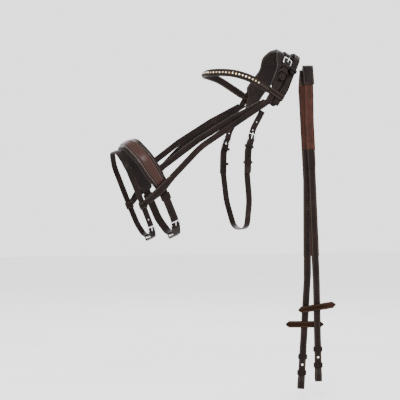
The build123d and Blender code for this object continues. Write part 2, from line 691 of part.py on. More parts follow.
def rein_stop(route, out, z, tilt):
    """A pointed leather bar across the rein, held by a loop that grips the rein."""
    face = rein_face(out)
    spot = face.from_local_coords(Vector(*route_from(route, z, z - 1.0)[0]))
    end = ReinEnd(route, out)
    along = Plane(origin=spot, x_dir=end.up, z_dir=end.out)
    length_dir = face_dir * cos(radians(tilt)) + Vector(0, 0, sin(radians(tilt)))
    flat = Plane(origin=spot, x_dir=length_dir, z_dir=end.out)
    low = strap_t / 2 + lap / 2
    half, point = stop_l / 2, stop_w / 2
    left, right = -half + point, half - point
    corners = [(-half, 0), (left, -point), (right, -point), (half, 0), (right, point), (left, point)]
    plate = extrude(flat.offset(low) * make_face(Polyline(*corners, close=True)), amount=stop_t)
    grip = keeper(along, rein_w, -strap_t / 2, strap_t / 2, 0.0, stop_w - 3.0)
    return plate + grip


for name, route, out in (("outer", rein_a_route, out_a), ("inner", rein_b_route, out_b)):
    parts[name + "_rein_grip"] = hanging(route, -out, pivot_z - pivot_half_gap, grip_end, grip_w, grip_t)
    parts[name + "_rein"] = rein_leather(route, -out)
    parts[name + "_hook_stud"] = hook_stud(route, -out)
    parts[name + "_rein_keepers"] = rein_keepers(route, -out)
parts["outer_rein_stop"] = rein_stop(rein_a_route, -out_a, stop_a_z, stop_a_tilt)
parts["inner_rein_stop"] = rein_stop(rein_b_route, -out_b, stop_b_z, 0.0)
w_a, w_b = rein_a_route[0][0], rein_b_route[0][0]
parts["outer_crest_grip"] = crest_part(w_a, level_a)
parts["inner_crest_grip"] = crest_part(w_b, level_b)


def hand_stop(w, level):
    """A leather sleeve sewn round the webbing on the near slope of the crest."""
    start, end = crest_line[0], crest_line[1]
    run = hypot(end[0] - start[0], end[1] - start[1])
    frame = seat(crest_plane, start, end, run / 2, level, -w)
    return keeper(frame, grip_w, -grip_t / 2, grip_t / 2, 0.0, run * 0.72)


parts["hand_stops"] = Compound([hand_stop(w_a, level_a), hand_stop(w_b, level_b)])


def far_route(route):
    """A rein's route on the far side, eased back by far_shift over its first 200 mm."""
    return [(w + far_shift * min(1.0, (hang_top - z) / 200.0), z) for w, z in route]


far_a, far_b = far_route(rein_a_route), far_route(rein_b_route)
top = pivot_z - pivot_half_gap
parts["far_grips"] = Compound([
    hanging(far_a, out_a, top, hand_grip_end, grip_w, grip_t),
    hanging(far_b, out_b, top, hand_grip_end, grip_w, grip_t),
])


def leg(route, out, turned):
    """Stations down a far leg, which turns from facing outwards to facing along the bottom loop."""
    spots, outs = [], []
    for n in range(7):
        share = n / 6
        z = hand_grip_end + (hand_bottom - hand_grip_end) * share
        w = route_from(route, z, z - 1.0)[0][0]
        ease = share * share * (3 - 2 * share)
        spots.append(face_dir * w + across_dir * out + Vector(0, 0, z))
        outs.append(across_dir * (1 - ease) + turned * ease)
    return spots, outs


def hand_loop():
    """The far halves of the two reins, which are one strap: down, round and up again."""
    foot_a = leg(far_a, out_a, across_dir)[0][-1]
    foot_b = leg(far_b, out_b, across_dir)[0][-1]
    middle, arm = (foot_a + foot_b) / 2, (foot_a - foot_b) / 2
    spots, outs = leg(far_a, out_a, arm.normalized())
    for n in range(1, 10):
        turn = radians(18 * n)
        way = arm.normalized() * cos(turn) - Vector(0, 0, sin(turn))
        spots.append(middle + way * arm.length)
        outs.append(way)
    up_spots, up_outs = leg(far_b, out_b, arm.normalized())
    spots += reversed(up_spots)
    outs += [out * -1 for out in reversed(up_outs)]
    return ribbon(spots, outs, rein_w, strap_t)


parts["hand_loop"] = hand_loop()

os.makedirs("parts", exist_ok=True)
for name, solid in parts.items():
    export_step(solid, f"parts/{name}.step")
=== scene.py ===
# %% [markdown]
# # A bitless bridle and its reins
# The bridle is a set of flat leather straps that take the shape of a horse's head. Its buckles,
# tongues and studs come finished from the CAD model. Every soft or sewn piece is made here as a
# strip that follows the same line as its CAD solid, because leather shows its quality in its
# edges, stitches and padding. Lengths in this script are millimetres until a mesh is made.

# %% Load the CAD frame
import bpy
import bmesh
import json
from math import ceil, cos, pi, radians, sin, sqrt, tan
from mathutils import Matrix, Vector

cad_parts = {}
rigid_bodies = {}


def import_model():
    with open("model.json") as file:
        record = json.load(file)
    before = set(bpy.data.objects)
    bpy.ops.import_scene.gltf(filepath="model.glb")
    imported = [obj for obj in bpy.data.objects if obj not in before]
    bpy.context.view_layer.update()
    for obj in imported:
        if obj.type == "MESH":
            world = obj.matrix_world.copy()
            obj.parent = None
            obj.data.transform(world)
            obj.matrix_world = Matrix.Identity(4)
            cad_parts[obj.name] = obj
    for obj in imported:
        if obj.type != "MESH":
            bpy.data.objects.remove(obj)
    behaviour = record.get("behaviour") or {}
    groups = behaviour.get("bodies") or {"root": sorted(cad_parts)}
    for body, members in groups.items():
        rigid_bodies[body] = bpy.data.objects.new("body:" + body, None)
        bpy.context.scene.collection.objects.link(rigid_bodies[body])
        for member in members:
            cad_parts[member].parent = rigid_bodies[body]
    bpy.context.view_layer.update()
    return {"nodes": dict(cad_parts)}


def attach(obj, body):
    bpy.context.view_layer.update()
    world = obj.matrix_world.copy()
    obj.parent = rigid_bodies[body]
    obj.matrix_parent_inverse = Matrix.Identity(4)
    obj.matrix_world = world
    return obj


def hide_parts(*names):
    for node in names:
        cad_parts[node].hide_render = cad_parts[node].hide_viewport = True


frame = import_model()
MM = 0.001
nodes = frame["nodes"]
print("CAD pieces:", len(nodes))

# %% [markdown]
# ## The viewpoint
# The camera looks at the near side from a little in front. A long lens from three metres keeps the
# straps almost in true proportion, as a catalogue picture does.

# %% Camera
rein_turn = 18.0
across_dir = Vector((sin(radians(rein_turn)), cos(radians(rein_turn)), 0))
face_dir = Vector((cos(radians(rein_turn)), -sin(radians(rein_turn)), 0))
camera_away = 3200.0
view_width = 900.0
view_middle = face_dir * -193.5 + across_dir * -60 + Vector((0, 0, -319.5))
camera_data = bpy.data.cameras.new("camera")
camera_data.lens = camera_data.sensor_width * camera_away / view_width
camera_data.clip_end = 50
camera = bpy.data.objects.new("camera", camera_data)
camera.location = (view_middle - across_dir * camera_away) * MM
camera.rotation_euler = (pi / 2, 0, -radians(rein_turn))
bpy.context.scene.collection.objects.link(camera)
bpy.context.scene.camera = camera
print("lens", round(camera_data.lens, 1), "mm")

# %% [markdown]
# ## Bending lines
# A strap's line is a few straight runs with rounded corners, drawn in a plane. These helpers round
# the corners, shift a line outwards by a strap's height above the head, and carry it into space.


# %% Line helpers
def parallel(points, out):
    """A bent line moved to the right of its own direction, which is away from the head."""
    spots = [Vector(p) for p in points]
    ways = [(b - a).normalized() for a, b in zip(spots, spots[1:])]
    sides = [Vector((w.y, -w.x)) for w in ways]
    before, after = [sides[0]] + sides, sides + [sides[-1]]
    return [p + (a + b) * (out / (1 + a.dot(b))) for p, a, b in zip(spots, before, after)]


def rounded(points, radii, step=7.0):
    """Points along the line, close together where it bends."""
    spots = [Vector(p) for p in points]
    wanted = radii if isinstance(radii, list) else [radii] * max(len(spots) - 2, 0)
    line = [spots[0]]
    for a, b, c, radius in zip(spots, spots[1:], spots[2:], wanted):
        into, away = (b - a).normalized(), (c - b).normalized()
        turn = into.angle(away)
        if turn < 0.01:
            line.append(b)
            continue
        cut = min(radius * tan(turn / 2), 0.48 * min((b - a).length, (c - b).length))
        count = max(3, ceil(turn / radians(7)))
        start, end = b - into * cut, b + away * cut
        for n in range(count + 1):
            t = n / count
            line.append(start * (1 - t) ** 2 + b * 2 * t * (1 - t) + end * t * t)
    line.append(spots[-1])
    full = [line[0]]
    for a, b in zip(line, line[1:]):
        pieces = max(1, ceil((b - a).length / step))
        full += [a + (b - a) * (n / pieces) for n in range(1, pieces + 1)]
    return [p for n, p in enumerate(full) if n == 0 or (p - full[n - 1]).length > 1e-4]


class Sheet:
    """A plane in space with two directions of its own and a normal."""

    def __init__(self, origin, x, y):
        self.origin, self.x, self.y = Vector(origin), Vector(x).normalized(), Vector(y).normalized()
        self.z = self.x.cross(self.y)

    def at(self, p, across=0.0):
        return self.origin + self.x * p[0] + self.y * p[1] + self.z * across


def tilted(front, angle):
    down = Vector((sin(radians(angle)), 0, -cos(radians(angle))))
    return Sheet((front[0], 0, front[1]), (0, 1, 0), down)


def bent_line(sheet, points, radii=30.0, across=0.0, flip=1):
    """Stations of a strap that bends in the sheet: each is a place and the way out from the head."""
    line = rounded(points, radii)
    result = []
    for n, p in enumerate(line):
        way = line[min(n + 1, len(line) - 1)] - line[max(n - 1, 0)]
        out = Vector((way.y, -way.x)).normalized() * flip
        result.append((sheet.at(p, across), sheet.x * out.x + sheet.y * out.y))
    return result


def flat_line(sheet, points, radius=150.0, level=0.0):
    """Stations of a strap that lies flat in the sheet and only curves edgeways."""
    return [(sheet.at(p, level), sheet.z) for p in rounded(points, radius)]


def mirrored(line):
    return [(Vector((p.x, -p.y, p.z)), Vector((o.x, -o.y, o.z))) for p, o in line]


print("line helpers ready")

# %% [markdown]
# ## One strip maker for every strap
# A strap is cut from a hide, so its section stays the same from end to end. The section starts as a
# ring of a few points, and each step along the line is one extrude of that ring followed by one
# transform. Two attributes ride along, the run along the strap and the distance from its edge, so
# that a material can sew a row of stitches exactly where a saddler does.


# %% Strip maker
def ring_matrix(spot, out, way, wide=1.0, high=1.0):
    out = (out - way * out.dot(way)).normalized()
    side = out.cross(way)
    turn = Matrix((side * wide, out * high, way)).transposed().to_4x4()
    return Matrix.Translation(spot) @ turn


def resampled(line, tips):
    """Stations with their runs, and extra ones where an end is rounded off."""
    runs = [0.0]
    for (a, _), (b, _) in zip(line, line[1:]):
        runs.append(runs[-1] + (b - a).length)
    total = runs[-1]
    marks = set(runs)
    for share in (0.03, 0.12, 0.3, 0.55, 0.8, 1.0):
        if tips[0]:
            marks.add(tips[0] * share)
        if tips[1]:
            marks.add(total - tips[1] * share)
    result = []
    for run in sorted(marks):
        n = max(k for k in range(len(runs) - 1) if runs[k] <= run + 1e-6)
        t = min(1.0, (run - runs[n]) / max(runs[n + 1] - runs[n], 1e-6))
        spot = line[n][0].lerp(line[n + 1][0], t)
        out = line[n][1].lerp(line[n + 1][1], t).normalized()
        scale = 1.0
        if tips[0] and run < tips[0]:
            scale = min(scale, sqrt(max(1 - (1 - run / tips[0]) ** 2, 0.02)))
        if tips[1] and total - run < tips[1]:
            scale = min(scale, sqrt(max(1 - (1 - (total - run) / tips[1]) ** 2, 0.02)))
        result.append((run, spot, out, scale))
    return [r for n, r in enumerate(result) if n == 0 or r[0] - result[n - 1][0] > 0.02]


def add_strip(bm, line, section, tips=(0, 0), shape=None, closed=False):
    """Extrude a section along the stations. shape gives width scale, height scale and side shift at a run."""
    run_layer = bm.verts.layers.float["run"]
    edge_layer = bm.verts.layers.float["edge"]
    rings = resampled(line, tips)
    half = max(abs(a) for a, h in section)
    verts = []
    for a, h in section:
        vert = bm.verts.new((a, h, 0))
        vert[edge_layer] = (half - abs(a)) * MM
        verts.append(vert)
    edges = [bm.edges.new((a, b)) for a, b in zip(verts, verts[1:] + verts[:1])]
    ends = [list(edges)]
    placed = Matrix.Identity(4)
    for n, (run, spot, out, scale) in enumerate(rings):
        way = (rings[min(n + 1, len(rings) - 1)][1] - rings[max(n - 1, 0)][1]).normalized()
        wide, high, shift = shape(run, rings[-1][0]) if shape else (1.0, 1.0, 0.0)
        place = ring_matrix(spot, out, way, wide * scale, high)
        place = place @ Matrix.Translation((shift / max(wide * scale, 0.01), 0, 0))
        if n:
            grown = bmesh.ops.extrude_edge_only(bm, edges=edges)["geom"]
            verts = [g for g in grown if isinstance(g, bmesh.types.BMVert)]
            edges = [g for g in grown if isinstance(g, bmesh.types.BMEdge)]
            edges = [g for g in edges if all(v in verts for v in g.verts)]
        bmesh.ops.transform(bm, matrix=place @ placed.inverted(), verts=verts)
        for vert in verts:
            vert[run_layer] = run * MM
        placed = place
    if closed:
        bmesh.ops.bridge_loops(bm, edges=ends[0] + edges)
        return
    for end in (ends[0], list(edges)):
        bmesh.ops.contextual_create(bm, geom=end)


def new_bm():
    bm = bmesh.new()
    bm.verts.layers.float.new("run")
    bm.verts.layers.float.new("edge")
    return bm


def finish_piece(bm, name, body, material, replaced=(), smooth=True):
    """Turn a bmesh into a piece that rides on a body."""
    bmesh.ops.scale(bm, vec=(MM, MM, MM), verts=bm.verts)
    bmesh.ops.recalc_face_normals(bm, faces=bm.faces)
    for face in bm.faces:
        face.smooth = smooth
    mesh = bpy.data.meshes.new(name)
    bm.to_mesh(mesh)
    bm.free()
    piece = bpy.data.objects.new(name, mesh)
    bpy.context.scene.collection.objects.link(piece)
    mesh.materials.append(material)
    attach(piece, body)
    if replaced:
        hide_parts(*replaced)
    if smooth:
        mesh.set_sharp_from_angle(angle=radians(38))
    print(name, len(mesh.polygons), "faces")
    return piece


def strap_section(width, thick, crease=True):
    """A strap's section: rubbed round edges and a fine line creased near each one."""
    w, t = width / 2, thick / 2
    top = [(w - 0.1, t * 0.2), (w - 0.35, t * 0.75), (w - 0.9, t)]
    if crease:
        top += [(w - 1.5, t), (w - 1.8, t - 0.22), (w - 2.1, t)]
    top += [(w * 0.4, t + 0.08), (0, t + 0.1)]
    right = top + []
    left = [(-a, h) for a, h in reversed(top[:-1])]
    bottom = [(-w + 0.1, -t * 0.4), (-w + 0.7, -t), (0, -t), (w - 0.7, -t), (w - 0.1, -t * 0.4)]
    return right + left + bottom


print("strip maker ready")

# %% [markdown]
# ## Shader arithmetic
# A finish is easier to read as arithmetic than as a web of boxes. One small class wraps a socket, so
# that an expression on values adds its Math nodes, and one method makes any other node.


# %% Socket class
class Value:
    def __init__(self, tree, socket):
        self.tree, self.socket = tree, socket

    def node(self, kind, settings=None, out=0, **inputs):
        made = self.tree.nodes.new(kind)
        stops = (settings or {}).pop("stops", None)
        for name, value in (settings or {}).items():
            setattr(made, name, value)
        if stops:
            ramp = made.color_ramp
            ramp.elements[0].position, ramp.elements[0].color = stops[0]
            ramp.elements[1].position, ramp.elements[1].color = stops[-1]
            for position, colour in stops[1:-1]:
                ramp.elements.new(position).color = colour
        for name, value in inputs.items():
            key = int(name[1:]) if name[0] == "i" and name[1:].isdigit() else name.replace("_", " ")
            if isinstance(value, Value):
                self.tree.links.new(value.socket, made.inputs[key])
            else:
                made.inputs[key].default_value = value
        return Value(self.tree, made.outputs[out])

    def math(self, operation, *values):
        inputs = {f"i{n}": v for n, v in enumerate(values)}
        return self.node("ShaderNodeMath", {"operation": operation}, **inputs)

    def __add__(self, other):
        return self.math("ADD", self, other)

    def __sub__(self, other):
        return self.math("SUBTRACT", self, other)

    def __rsub__(self, other):
        return self.math("SUBTRACT", other, self)

    def __mul__(self, other):
        return self.math("MULTIPLY", self, other)

    def __truediv__(self, other):
        return self.math("DIVIDE", self, other)

    __radd__, __rmul__ = __add__, __mul__

    def step(self, low, high):
        """0 below low, 1 above high, and a smooth rise between."""
        return self.node(
            "ShaderNodeMapRange", {"interpolation_type": "SMOOTHSTEP"},
            Value=self, From_Min=low, From_Max=high, To_Min=0.0, To_Max=1.0,
        )

    def mix(self, other, amount):
        return self.node("ShaderNodeMix", {"data_type": "RGBA"}, out=2, i0=amount, i6=self, i7=other)


def new_material(name, roughness=0.5, metallic=0.0, coat=0.0, coat_roughness=0.2, ior=1.5, specular=0.5):
    """A material with its main shader, and a value from which every other node is made."""
    material = bpy.data.materials.new(name)
    material.use_nodes = True
    tree = material.node_tree
    shader = tree.nodes["Principled BSDF"]
    shader.inputs["Roughness"].default_value = roughness
    shader.inputs["Metallic"].default_value = metallic
    shader.inputs["Coat Weight"].default_value = coat
    shader.inputs["Coat Roughness"].default_value = coat_roughness
    shader.inputs["IOR"].default_value = ior
    shader.inputs["Specular IOR Level"].default_value = specular
    place = Value(tree, tree.nodes.new("ShaderNodeTexCoord").outputs["Object"])
    return material, shader, place


def feed(shader, name, value):
    value.tree.links.new(value.socket, shader.inputs[name])


def attribute(place, name):
    return place.node("ShaderNodeAttribute", {"attribute_name": name}, out=2)


def noise(place, scale, detail=3.0, roughness=0.55, out=0):
    return place.node("ShaderNodeTexNoise", out=out, Vector=place, Scale=scale, Detail=detail, Roughness=roughness)


def bump(shader, place, height, strength, distance):
    feed(shader, "Normal", place.node("ShaderNodeBump", Strength=strength, Distance=distance, Height=height))


print("shader arithmetic ready")

# %% [markdown]
# ## Leather
# Bridle leather is dyed almost black-brown, then waxed. It shows a fine pore grain, slow changes of
# tone where hands have warmed it, and paler edges, partly rubbing wear and partly a painted highlight
# along the rounded edge. The row of stitches runs a fixed distance from the edge, so it reads the two
# attributes that the strip maker leaves on a strap.


# %% Leather
def stitch_rows(place, rows, pitch, length=0.62, wide=0.00032):
    """1 on each thread of the rows that lie at the given distances from the edge."""
    run, edge = attribute(place, "run"), attribute(place, "edge")
    along = place.math("FRACT", run / pitch)
    half = length / 2
    on = 1.0 - place.math("ABSOLUTE", along - 0.5).step(half - 0.06, half + 0.06)
    threads = None
    for row in rows:
        off = place.math("ABSOLUTE", edge - row)
        line = (1.0 - off.step(wide, wide * 1.9)) * on
        threads = line if threads is None else place.math("MAXIMUM", threads, line)
    return threads


def punched(place, holes, middle):
    """1 inside each hole of a row down the middle of a billet."""
    first, pitch, count = holes
    run, edge = attribute(place, "run"), attribute(place, "edge")
    number = place.math("ROUND", (run - first) / pitch)
    number = place.math("MINIMUM", place.math("MAXIMUM", number, 0.0), count - 1.0)
    along, across = run - first - number * pitch, edge - middle
    return 1.0 - place.math("SQRT", along * along + across * across).step(0.0013, 0.0017)


# The third colour is the palest: it serves as worn tone and as the painted edge highlight, and the edge strength sets
# both the wear and the painted highlight on the edges.
def leather(name, dark, light, worn_and_highlight, roughness=0.42, coat=0.0, specular=0.08, rows=(), pitch=0.0036,
            thread=(0.07, 0.05, 0.036, 1), grain=1.0, edge_wear_and_highlight=0.5, middle=None, holes=None, half=0.007):
    material, shader, place = new_material(name, coat=coat, coat_roughness=0.25, specular=specular)
    tone = noise(place, 26.0, 4.0)
    base = place.node(
        "ShaderNodeValToRGB", {"stops": [(0.32, dark + (1,)), (0.6, light + (1,)), (0.82, worn_and_highlight + (1,))]}, Fac=tone,
    )
    pores = place.node("ShaderNodeTexVoronoi", Vector=place, Scale=1900.0)
    fibre = noise(place, 900.0, 2.0)
    edge = attribute(place, "edge")
    colour = base
    if middle:
        polished = noise(place, 55.0, 3.0) * 0.5 + 0.5
        colour = base.mix(middle + (1,), edge.step(0.0052, 0.0088) * polished)
    # Edges made paler in patches: partly rubbing wear, partly a painted highlight where light would catch the rounded
    # edge.
    rubbed_and_highlit_edge = (1.0 - edge.step(0.0001, 0.0008)) * noise(place, 90.0).step(0.35, 0.7) * edge_wear_and_highlight
    colour = colour.mix(worn_and_highlight + (1,), rubbed_and_highlit_edge)
    height = pores * (-0.5 * grain) + fibre * (0.35 * grain)
    if rows:
        threads = stitch_rows(place, rows, pitch)
        colour = colour.mix(thread, threads * 0.85)
        channel = None
        for row in rows:
            dip = 1.0 - place.math("ABSOLUTE", edge - row).step(0.0003, 0.0009)
            channel = dip if channel is None else place.math("MAXIMUM", channel, dip)
        height = height - channel * 1.2 + threads * 1.8
    if holes:
        feed(shader, "Alpha", 1.0 - punched(place, holes, half))
    feed(shader, "Base Color", colour)
    feed(shader, "Roughness", tone * 0.3 + (roughness - 0.15))
    bump(shader, place, height, 0.3, 0.0004)
    return material


dark_brown = (0.0036, 0.0021, 0.0018)
mid_brown = (0.0080, 0.0040, 0.0032)
# The palest brown: worn tone in the hide, and also the colour of the painted edge highlight.
worn_and_highlight_brown = (0.019, 0.0115, 0.0090)
strap_leather = leather("strap_leather", dark_brown, mid_brown, worn_and_highlight_brown)
throat_leather = leather("punched_throat_billet", dark_brown, mid_brown, worn_and_highlight_brown, holes=(0.028, 0.0205, 6))
chin_leather = leather(
    "punched_chin_billet", dark_brown, mid_brown, worn_and_highlight_brown, holes=(0.020, 0.0185, 5), half=0.0065,
)
sewn_leather = leather("sewn_strap_leather", dark_brown, mid_brown, worn_and_highlight_brown, rows=(0.0024,))
stop_leather = leather(
    "rein_stop_leather", (0.0070, 0.0026, 0.0010), (0.0115, 0.0042, 0.0015), (0.024, 0.0100, 0.0050),
    specular=0.04, rows=(0.0024,),
)
pad_leather = leather(
    "pad_leather", (0.0045, 0.0028, 0.0026), (0.0085, 0.0048, 0.0042), (0.018, 0.011, 0.0095),
    roughness=0.55, specular=0.10, rows=(0.0032,), grain=1.3, edge_wear_and_highlight=0.2,
)
raised_leather = leather(
    "raised_leather", (0.0065, 0.0035, 0.0030), (0.011, 0.0052, 0.0042), (0.022, 0.011, 0.0085),
    roughness=0.34, coat=0.09, specular=0.14, rows=(0.0040,), pitch=0.0030, edge_wear_and_highlight=0.1,
    thread=(0.15, 0.11, 0.09, 1), middle=(0.026, 0.0070, 0.0045),
)
plain_leathers = (strap_leather, throat_leather, chin_leather, sewn_leather)
leathers = plain_leathers + (stop_leather, pad_leather, raised_leather)
for made in leathers:
    print(made.name, len(made.node_tree.nodes), "nodes")

# %% [markdown]
# ## Webbing, metal and stones
# The rein grips are a coarse red-brown web: ribs across its width, a fine twill between them. The
# buckles are polished steel with faint brushing. The stones are small cut crystals, clear ones and
# pale gold ones in turn.


# %% Webbing, metal and stones
def webbing():
    material, shader, place = new_material("rein_webbing", roughness=0.8, specular=0.15)
    run, edge = attribute(place, "run"), attribute(place, "edge")
    picks = place.math("SINE", run * (2 * pi / 0.0017)) * 0.5 + 0.5
    ribs = place.math("SINE", edge * (2 * pi / 0.0033)) * 0.5 + 0.5
    weave = ribs * 0.7 + picks * 0.3
    tone = noise(place, 60.0)
    deep = place.node(
        "ShaderNodeValToRGB", {"stops": [(0.3, (0.016, 0.0048, 0.0032, 1)), (0.75, (0.036, 0.0115, 0.0070, 1))]},
        Fac=tone,
    )
    colour = deep.mix((0.075, 0.026, 0.015, 1), weave.step(0.45, 0.95) * 0.6)
    binding = 1.0 - edge.step(0.0012, 0.0018)
    feed(shader, "Base Color", colour.mix((0.012, 0.0045, 0.0032, 1), binding * 0.7))
    bump(shader, place, weave + noise(place, 2500.0) * 0.3, 0.6, 0.0006)
    return material


def steel():
    material, shader, place = new_material("polished_steel", metallic=1.0)
    scuffs = noise(place, 700.0, 4.0)
    stops = [(0.3, (0.62, 0.62, 0.63, 1)), (0.7, (0.85, 0.85, 0.86, 1))]
    feed(shader, "Base Color", place.node("ShaderNodeValToRGB", {"stops": stops}, Fac=scuffs))
    feed(shader, "Roughness", scuffs * 0.2 + 0.08)
    bump(shader, place, noise(place, 1500.0), 0.05, 0.0001)
    return material


def crystal(name, low, high):
    material, shader, place = new_material(name, coat=1.0, coat_roughness=0.03, ior=1.8)
    spark = noise(place, 420.0, 2.0)
    stops = [(0.35, low), (0.65, high)]
    feed(shader, "Base Color", place.node("ShaderNodeValToRGB", {"stops": stops}, Fac=spark))
    feed(shader, "Roughness", spark * 0.2 + 0.02)
    feed(shader, "Metallic", spark.step(0.3, 0.7) * 0.6)
    return material


web, metal = webbing(), steel()
clear_stone = crystal("clear_crystal", (0.30, 0.27, 0.22, 1), (0.88, 0.84, 0.74, 1))
gold_stone = crystal("gold_crystal", (0.20, 0.12, 0.04, 1), (0.74, 0.52, 0.24, 1))


def antique_brass():
    material, shader, place = new_material("antique_brass", metallic=1.0)
    age = noise(place, 500.0, 3.0)
    stops = [(0.3, (0.045, 0.028, 0.015, 1)), (0.7, (0.16, 0.105, 0.055, 1))]
    feed(shader, "Base Color", place.node("ShaderNodeValToRGB", {"stops": stops}, Fac=age))
    feed(shader, "Roughness", age * 0.3 + 0.25)
    return material


brass = antique_brass()
print("webbing, steel, brass and two kinds of stone")

# %% [markdown]
# ## Sizes shared by the straps
# The straps lie at set heights above the head: a low one on the surface, the buckle's bar over it,
# and a billet over the bar. The same few lines as in the CAD model give every strap its place.

# %% Sizes and levels
strap_t, head_strap_w, chin_strap_w, jaw_strap_w = 2.5, 14.0, 13.0, 18.0
rein_w, grip_w, grip_t, lap, keeper_t = 16.0, 20.0, 3.0, 0.6, 1.6
rod_r, buckle_l, fold_t, pad_t = 1.15, 16.0, 1.3, 8.0
lie = keeper_t + lap / 2 + 0.2 + strap_t / 2
bar_lift = rod_r + 0.2 + strap_t / 2
over_lift = rod_r + 0.1 + fold_t + 0.4 + strap_t / 2
stack = (-strap_t / 2, bar_lift + over_lift + strap_t / 2)
step_top, step_foot = 0.5, 3.5


def on_run(start, end, along, out):
    start, end = Vector(start), Vector(end)
    way = (end - start).normalized()
    return start + way * along + Vector((way.y, -way.x)) * out


def seat(sheet, start, end, along, out=0.0, across=0.0):
    """A place on a straight run, with x along it and z away from the head."""
    spot = on_run(start, end, along, out)
    way = (Vector(end) - Vector(start)).normalized()
    x = sheet.x * way.x + sheet.y * way.y
    z = sheet.x * way.y - sheet.y * way.x
    return Sheet(sheet.at(spot, across), x, z.cross(x))


def strip_piece(name, body, material, replaced, strips):
    """One piece made of one or more strips; each is a line, a section and any tips or shape."""
    bm = new_bm()
    for line, section, *rest in strips:
        add_strip(bm, line, section, *rest)
    return finish_piece(bm, name, body, material, replaced)


print("levels:", round(lie, 2), round(bar_lift, 2), round(over_lift, 2))

# %% [markdown]
# ## Keepers and chapes
# A keeper is a small leather loop, and its section runs once round whatever it holds. A chape is the
# end of a strap, pared thin, turned round the buckle's heel bar and sewn down. It is cut in the
# middle, so that the tongue can pass, and so it is made as two narrow folds and one full-width end.


# %% Keeper and chape helpers
def keeper_line(place, width, low, high, at, wall):
    """Stations round a rounded rectangle across the strap."""
    half, bottom, top = width / 2 + lap + wall / 2, low - lap / 2 - wall / 2, high + lap / 2 + wall / 2
    corner = 1.3
    middle = place.x * at
    result = []
    for a, h, first in ((1, 1, 0), (-1, 1, 90), (-1, -1, 180), (1, -1, 270)):
        height = (top if h > 0 else bottom) - h * corner
        for n in range(5):
            turn = radians(first + 22.5 * n)
            out = place.y * cos(turn) + place.z * sin(turn)
            spot = place.y * (a * (half - corner)) + place.z * height
            result.append((place.origin + middle + spot + out * corner, out))
    return result


def keeper_section(length, wall):
    w, t = length / 2, wall / 2
    return [
        (w, 0), (w - 0.15, t * 0.7), (w - 0.5, t), (w - 1.1, t), (w - 1.3, t - 0.18), (w - 1.5, t), (0, t + 0.15),
        (-w + 1.5, t), (-w + 1.3, t - 0.18), (-w + 1.1, t), (-w + 0.5, t), (-w + 0.15, t * 0.7), (-w, 0),
        (-w + 0.3, -t),
        (w - 0.3, -t),
    ]


def add_keeper(bm, place, width, low, high, at, length=6.0, wall=keeper_t):
    line = keeper_line(place, width, low, high, at, wall)
    add_strip(bm, line, keeper_section(length, wall), (0, 0), None, True)


def keeper_piece(name, body, places):
    """The keepers of one CAD node, replaced as one piece."""
    bm = new_bm()
    for values in places:
        add_keeper(bm, *values)
    return finish_piece(bm, name + "_sewn", body, strap_leather, (name,))


def add_chape(bm, bar, width, length):
    """The folded end round a heel bar whose middle is the place's origin."""
    turn_r = rod_r + 0.1 + fold_t / 2
    slot = 2.3
    half = (width - 2 * slot) / 2
    top = []
    for n in range(9):
        angle = radians(-100 + 190 * n / 8)
        out = bar.x * cos(angle) + bar.z * sin(angle)
        top.append((bar.origin + out * turn_r, out))
    steps = ((7, bar_lift - 0.4), (3, turn_r + 0.3))
    near = [(bar.origin - bar.x * run - bar.z * drop, -bar.z) for run, drop in steps]
    back = [(bar.origin - bar.x * run + bar.z * turn_r, bar.z) for run in (2.5, 5.5)]
    for side in (-1, 1):
        shift = bar.y * (side * (slot + half / 2))
        line = [(p + shift, out) for p, out in near + top + back]
        add_strip(bm, line, strap_section(half, fold_t, False))
    level = turn_r
    flap = []
    for n in range(8):
        run = 4.6 + (length - 4.6) * n / 7
        drop = max(0.0, (n - 4) / 3) * 0.5
        flap.append((bar.origin - bar.x * run + bar.z * (level - drop), bar.z))
    add_strip(bm, flap, strap_section(width, fold_t + 0.2, False), (0, min(4.0, length / 3)))


print("keeper and chape helpers ready")

# %% [markdown]
# ## Crown
# The crown is the padded piece behind the ears. It is wide in the middle and cut back for the ears.
# A strip whose width scale and side shift change along its run gives that outline, with a section
# that is flat where it lies on the poll and crowned on top, like leather drawn over foam.

# %% Crown pad
crown = tilted((0, 0), -32.0)
off_line = [(19.0, 0.0), (41.0, 8.0), (77.0, 78.0), (77.0, 133.0)]
crown_line = [(-x, y) for x, y in reversed(off_line)] + off_line
crown_radii = [28.0, 14.0, 18.0, 18.0, 14.0, 28.0]
front_strap_at, rear_strap_at = 9.2, -9.4
strap_out = pad_t + lie
bar_out = strap_out + bar_lift
billet_out = bar_out + over_lift
low_line, high_line = parallel(crown_line, strap_out), parallel(crown_line, billet_out)


def grown(radii, out):
    return [r + out for r in radii]


def between(table, value):
    """A value read from a small table of (place, value) rows, with smooth steps between them."""
    if value <= table[0][0]:
        return table[0][1]
    for (p, a), (q, b) in zip(table, table[1:]):
        if value <= q:
            t = (value - p) / (q - p)
            return a + (b - a) * t * t * (3 - 2 * t)
    return table[-1][1]


pad_front = [(0, 35.6), (14, 35.2), (44, 23), (84, 22.6), (104, 10), (118, 4), (130, 1), (136, -4)]
pad_rear = [(0, -20.6), (90, -20.6), (112, -17.5), (124, -14.5), (131, -11.5), (136, -8)]
pad_line = bent_line(crown, parallel(crown_line, pad_t / 2), grown(crown_radii, pad_t / 2), 0.0)
pad_line = [(p, out) for p, out in pad_line if p.dot(crown.y) < 131.4]
pad_runs = [0.0]
for (a, _), (b, _) in zip(pad_line, pad_line[1:]):
    pad_runs.append(pad_runs[-1] + (b - a).length)
side_down = [p.dot(crown.y) + pad_t / 2 for p, _ in pad_line]


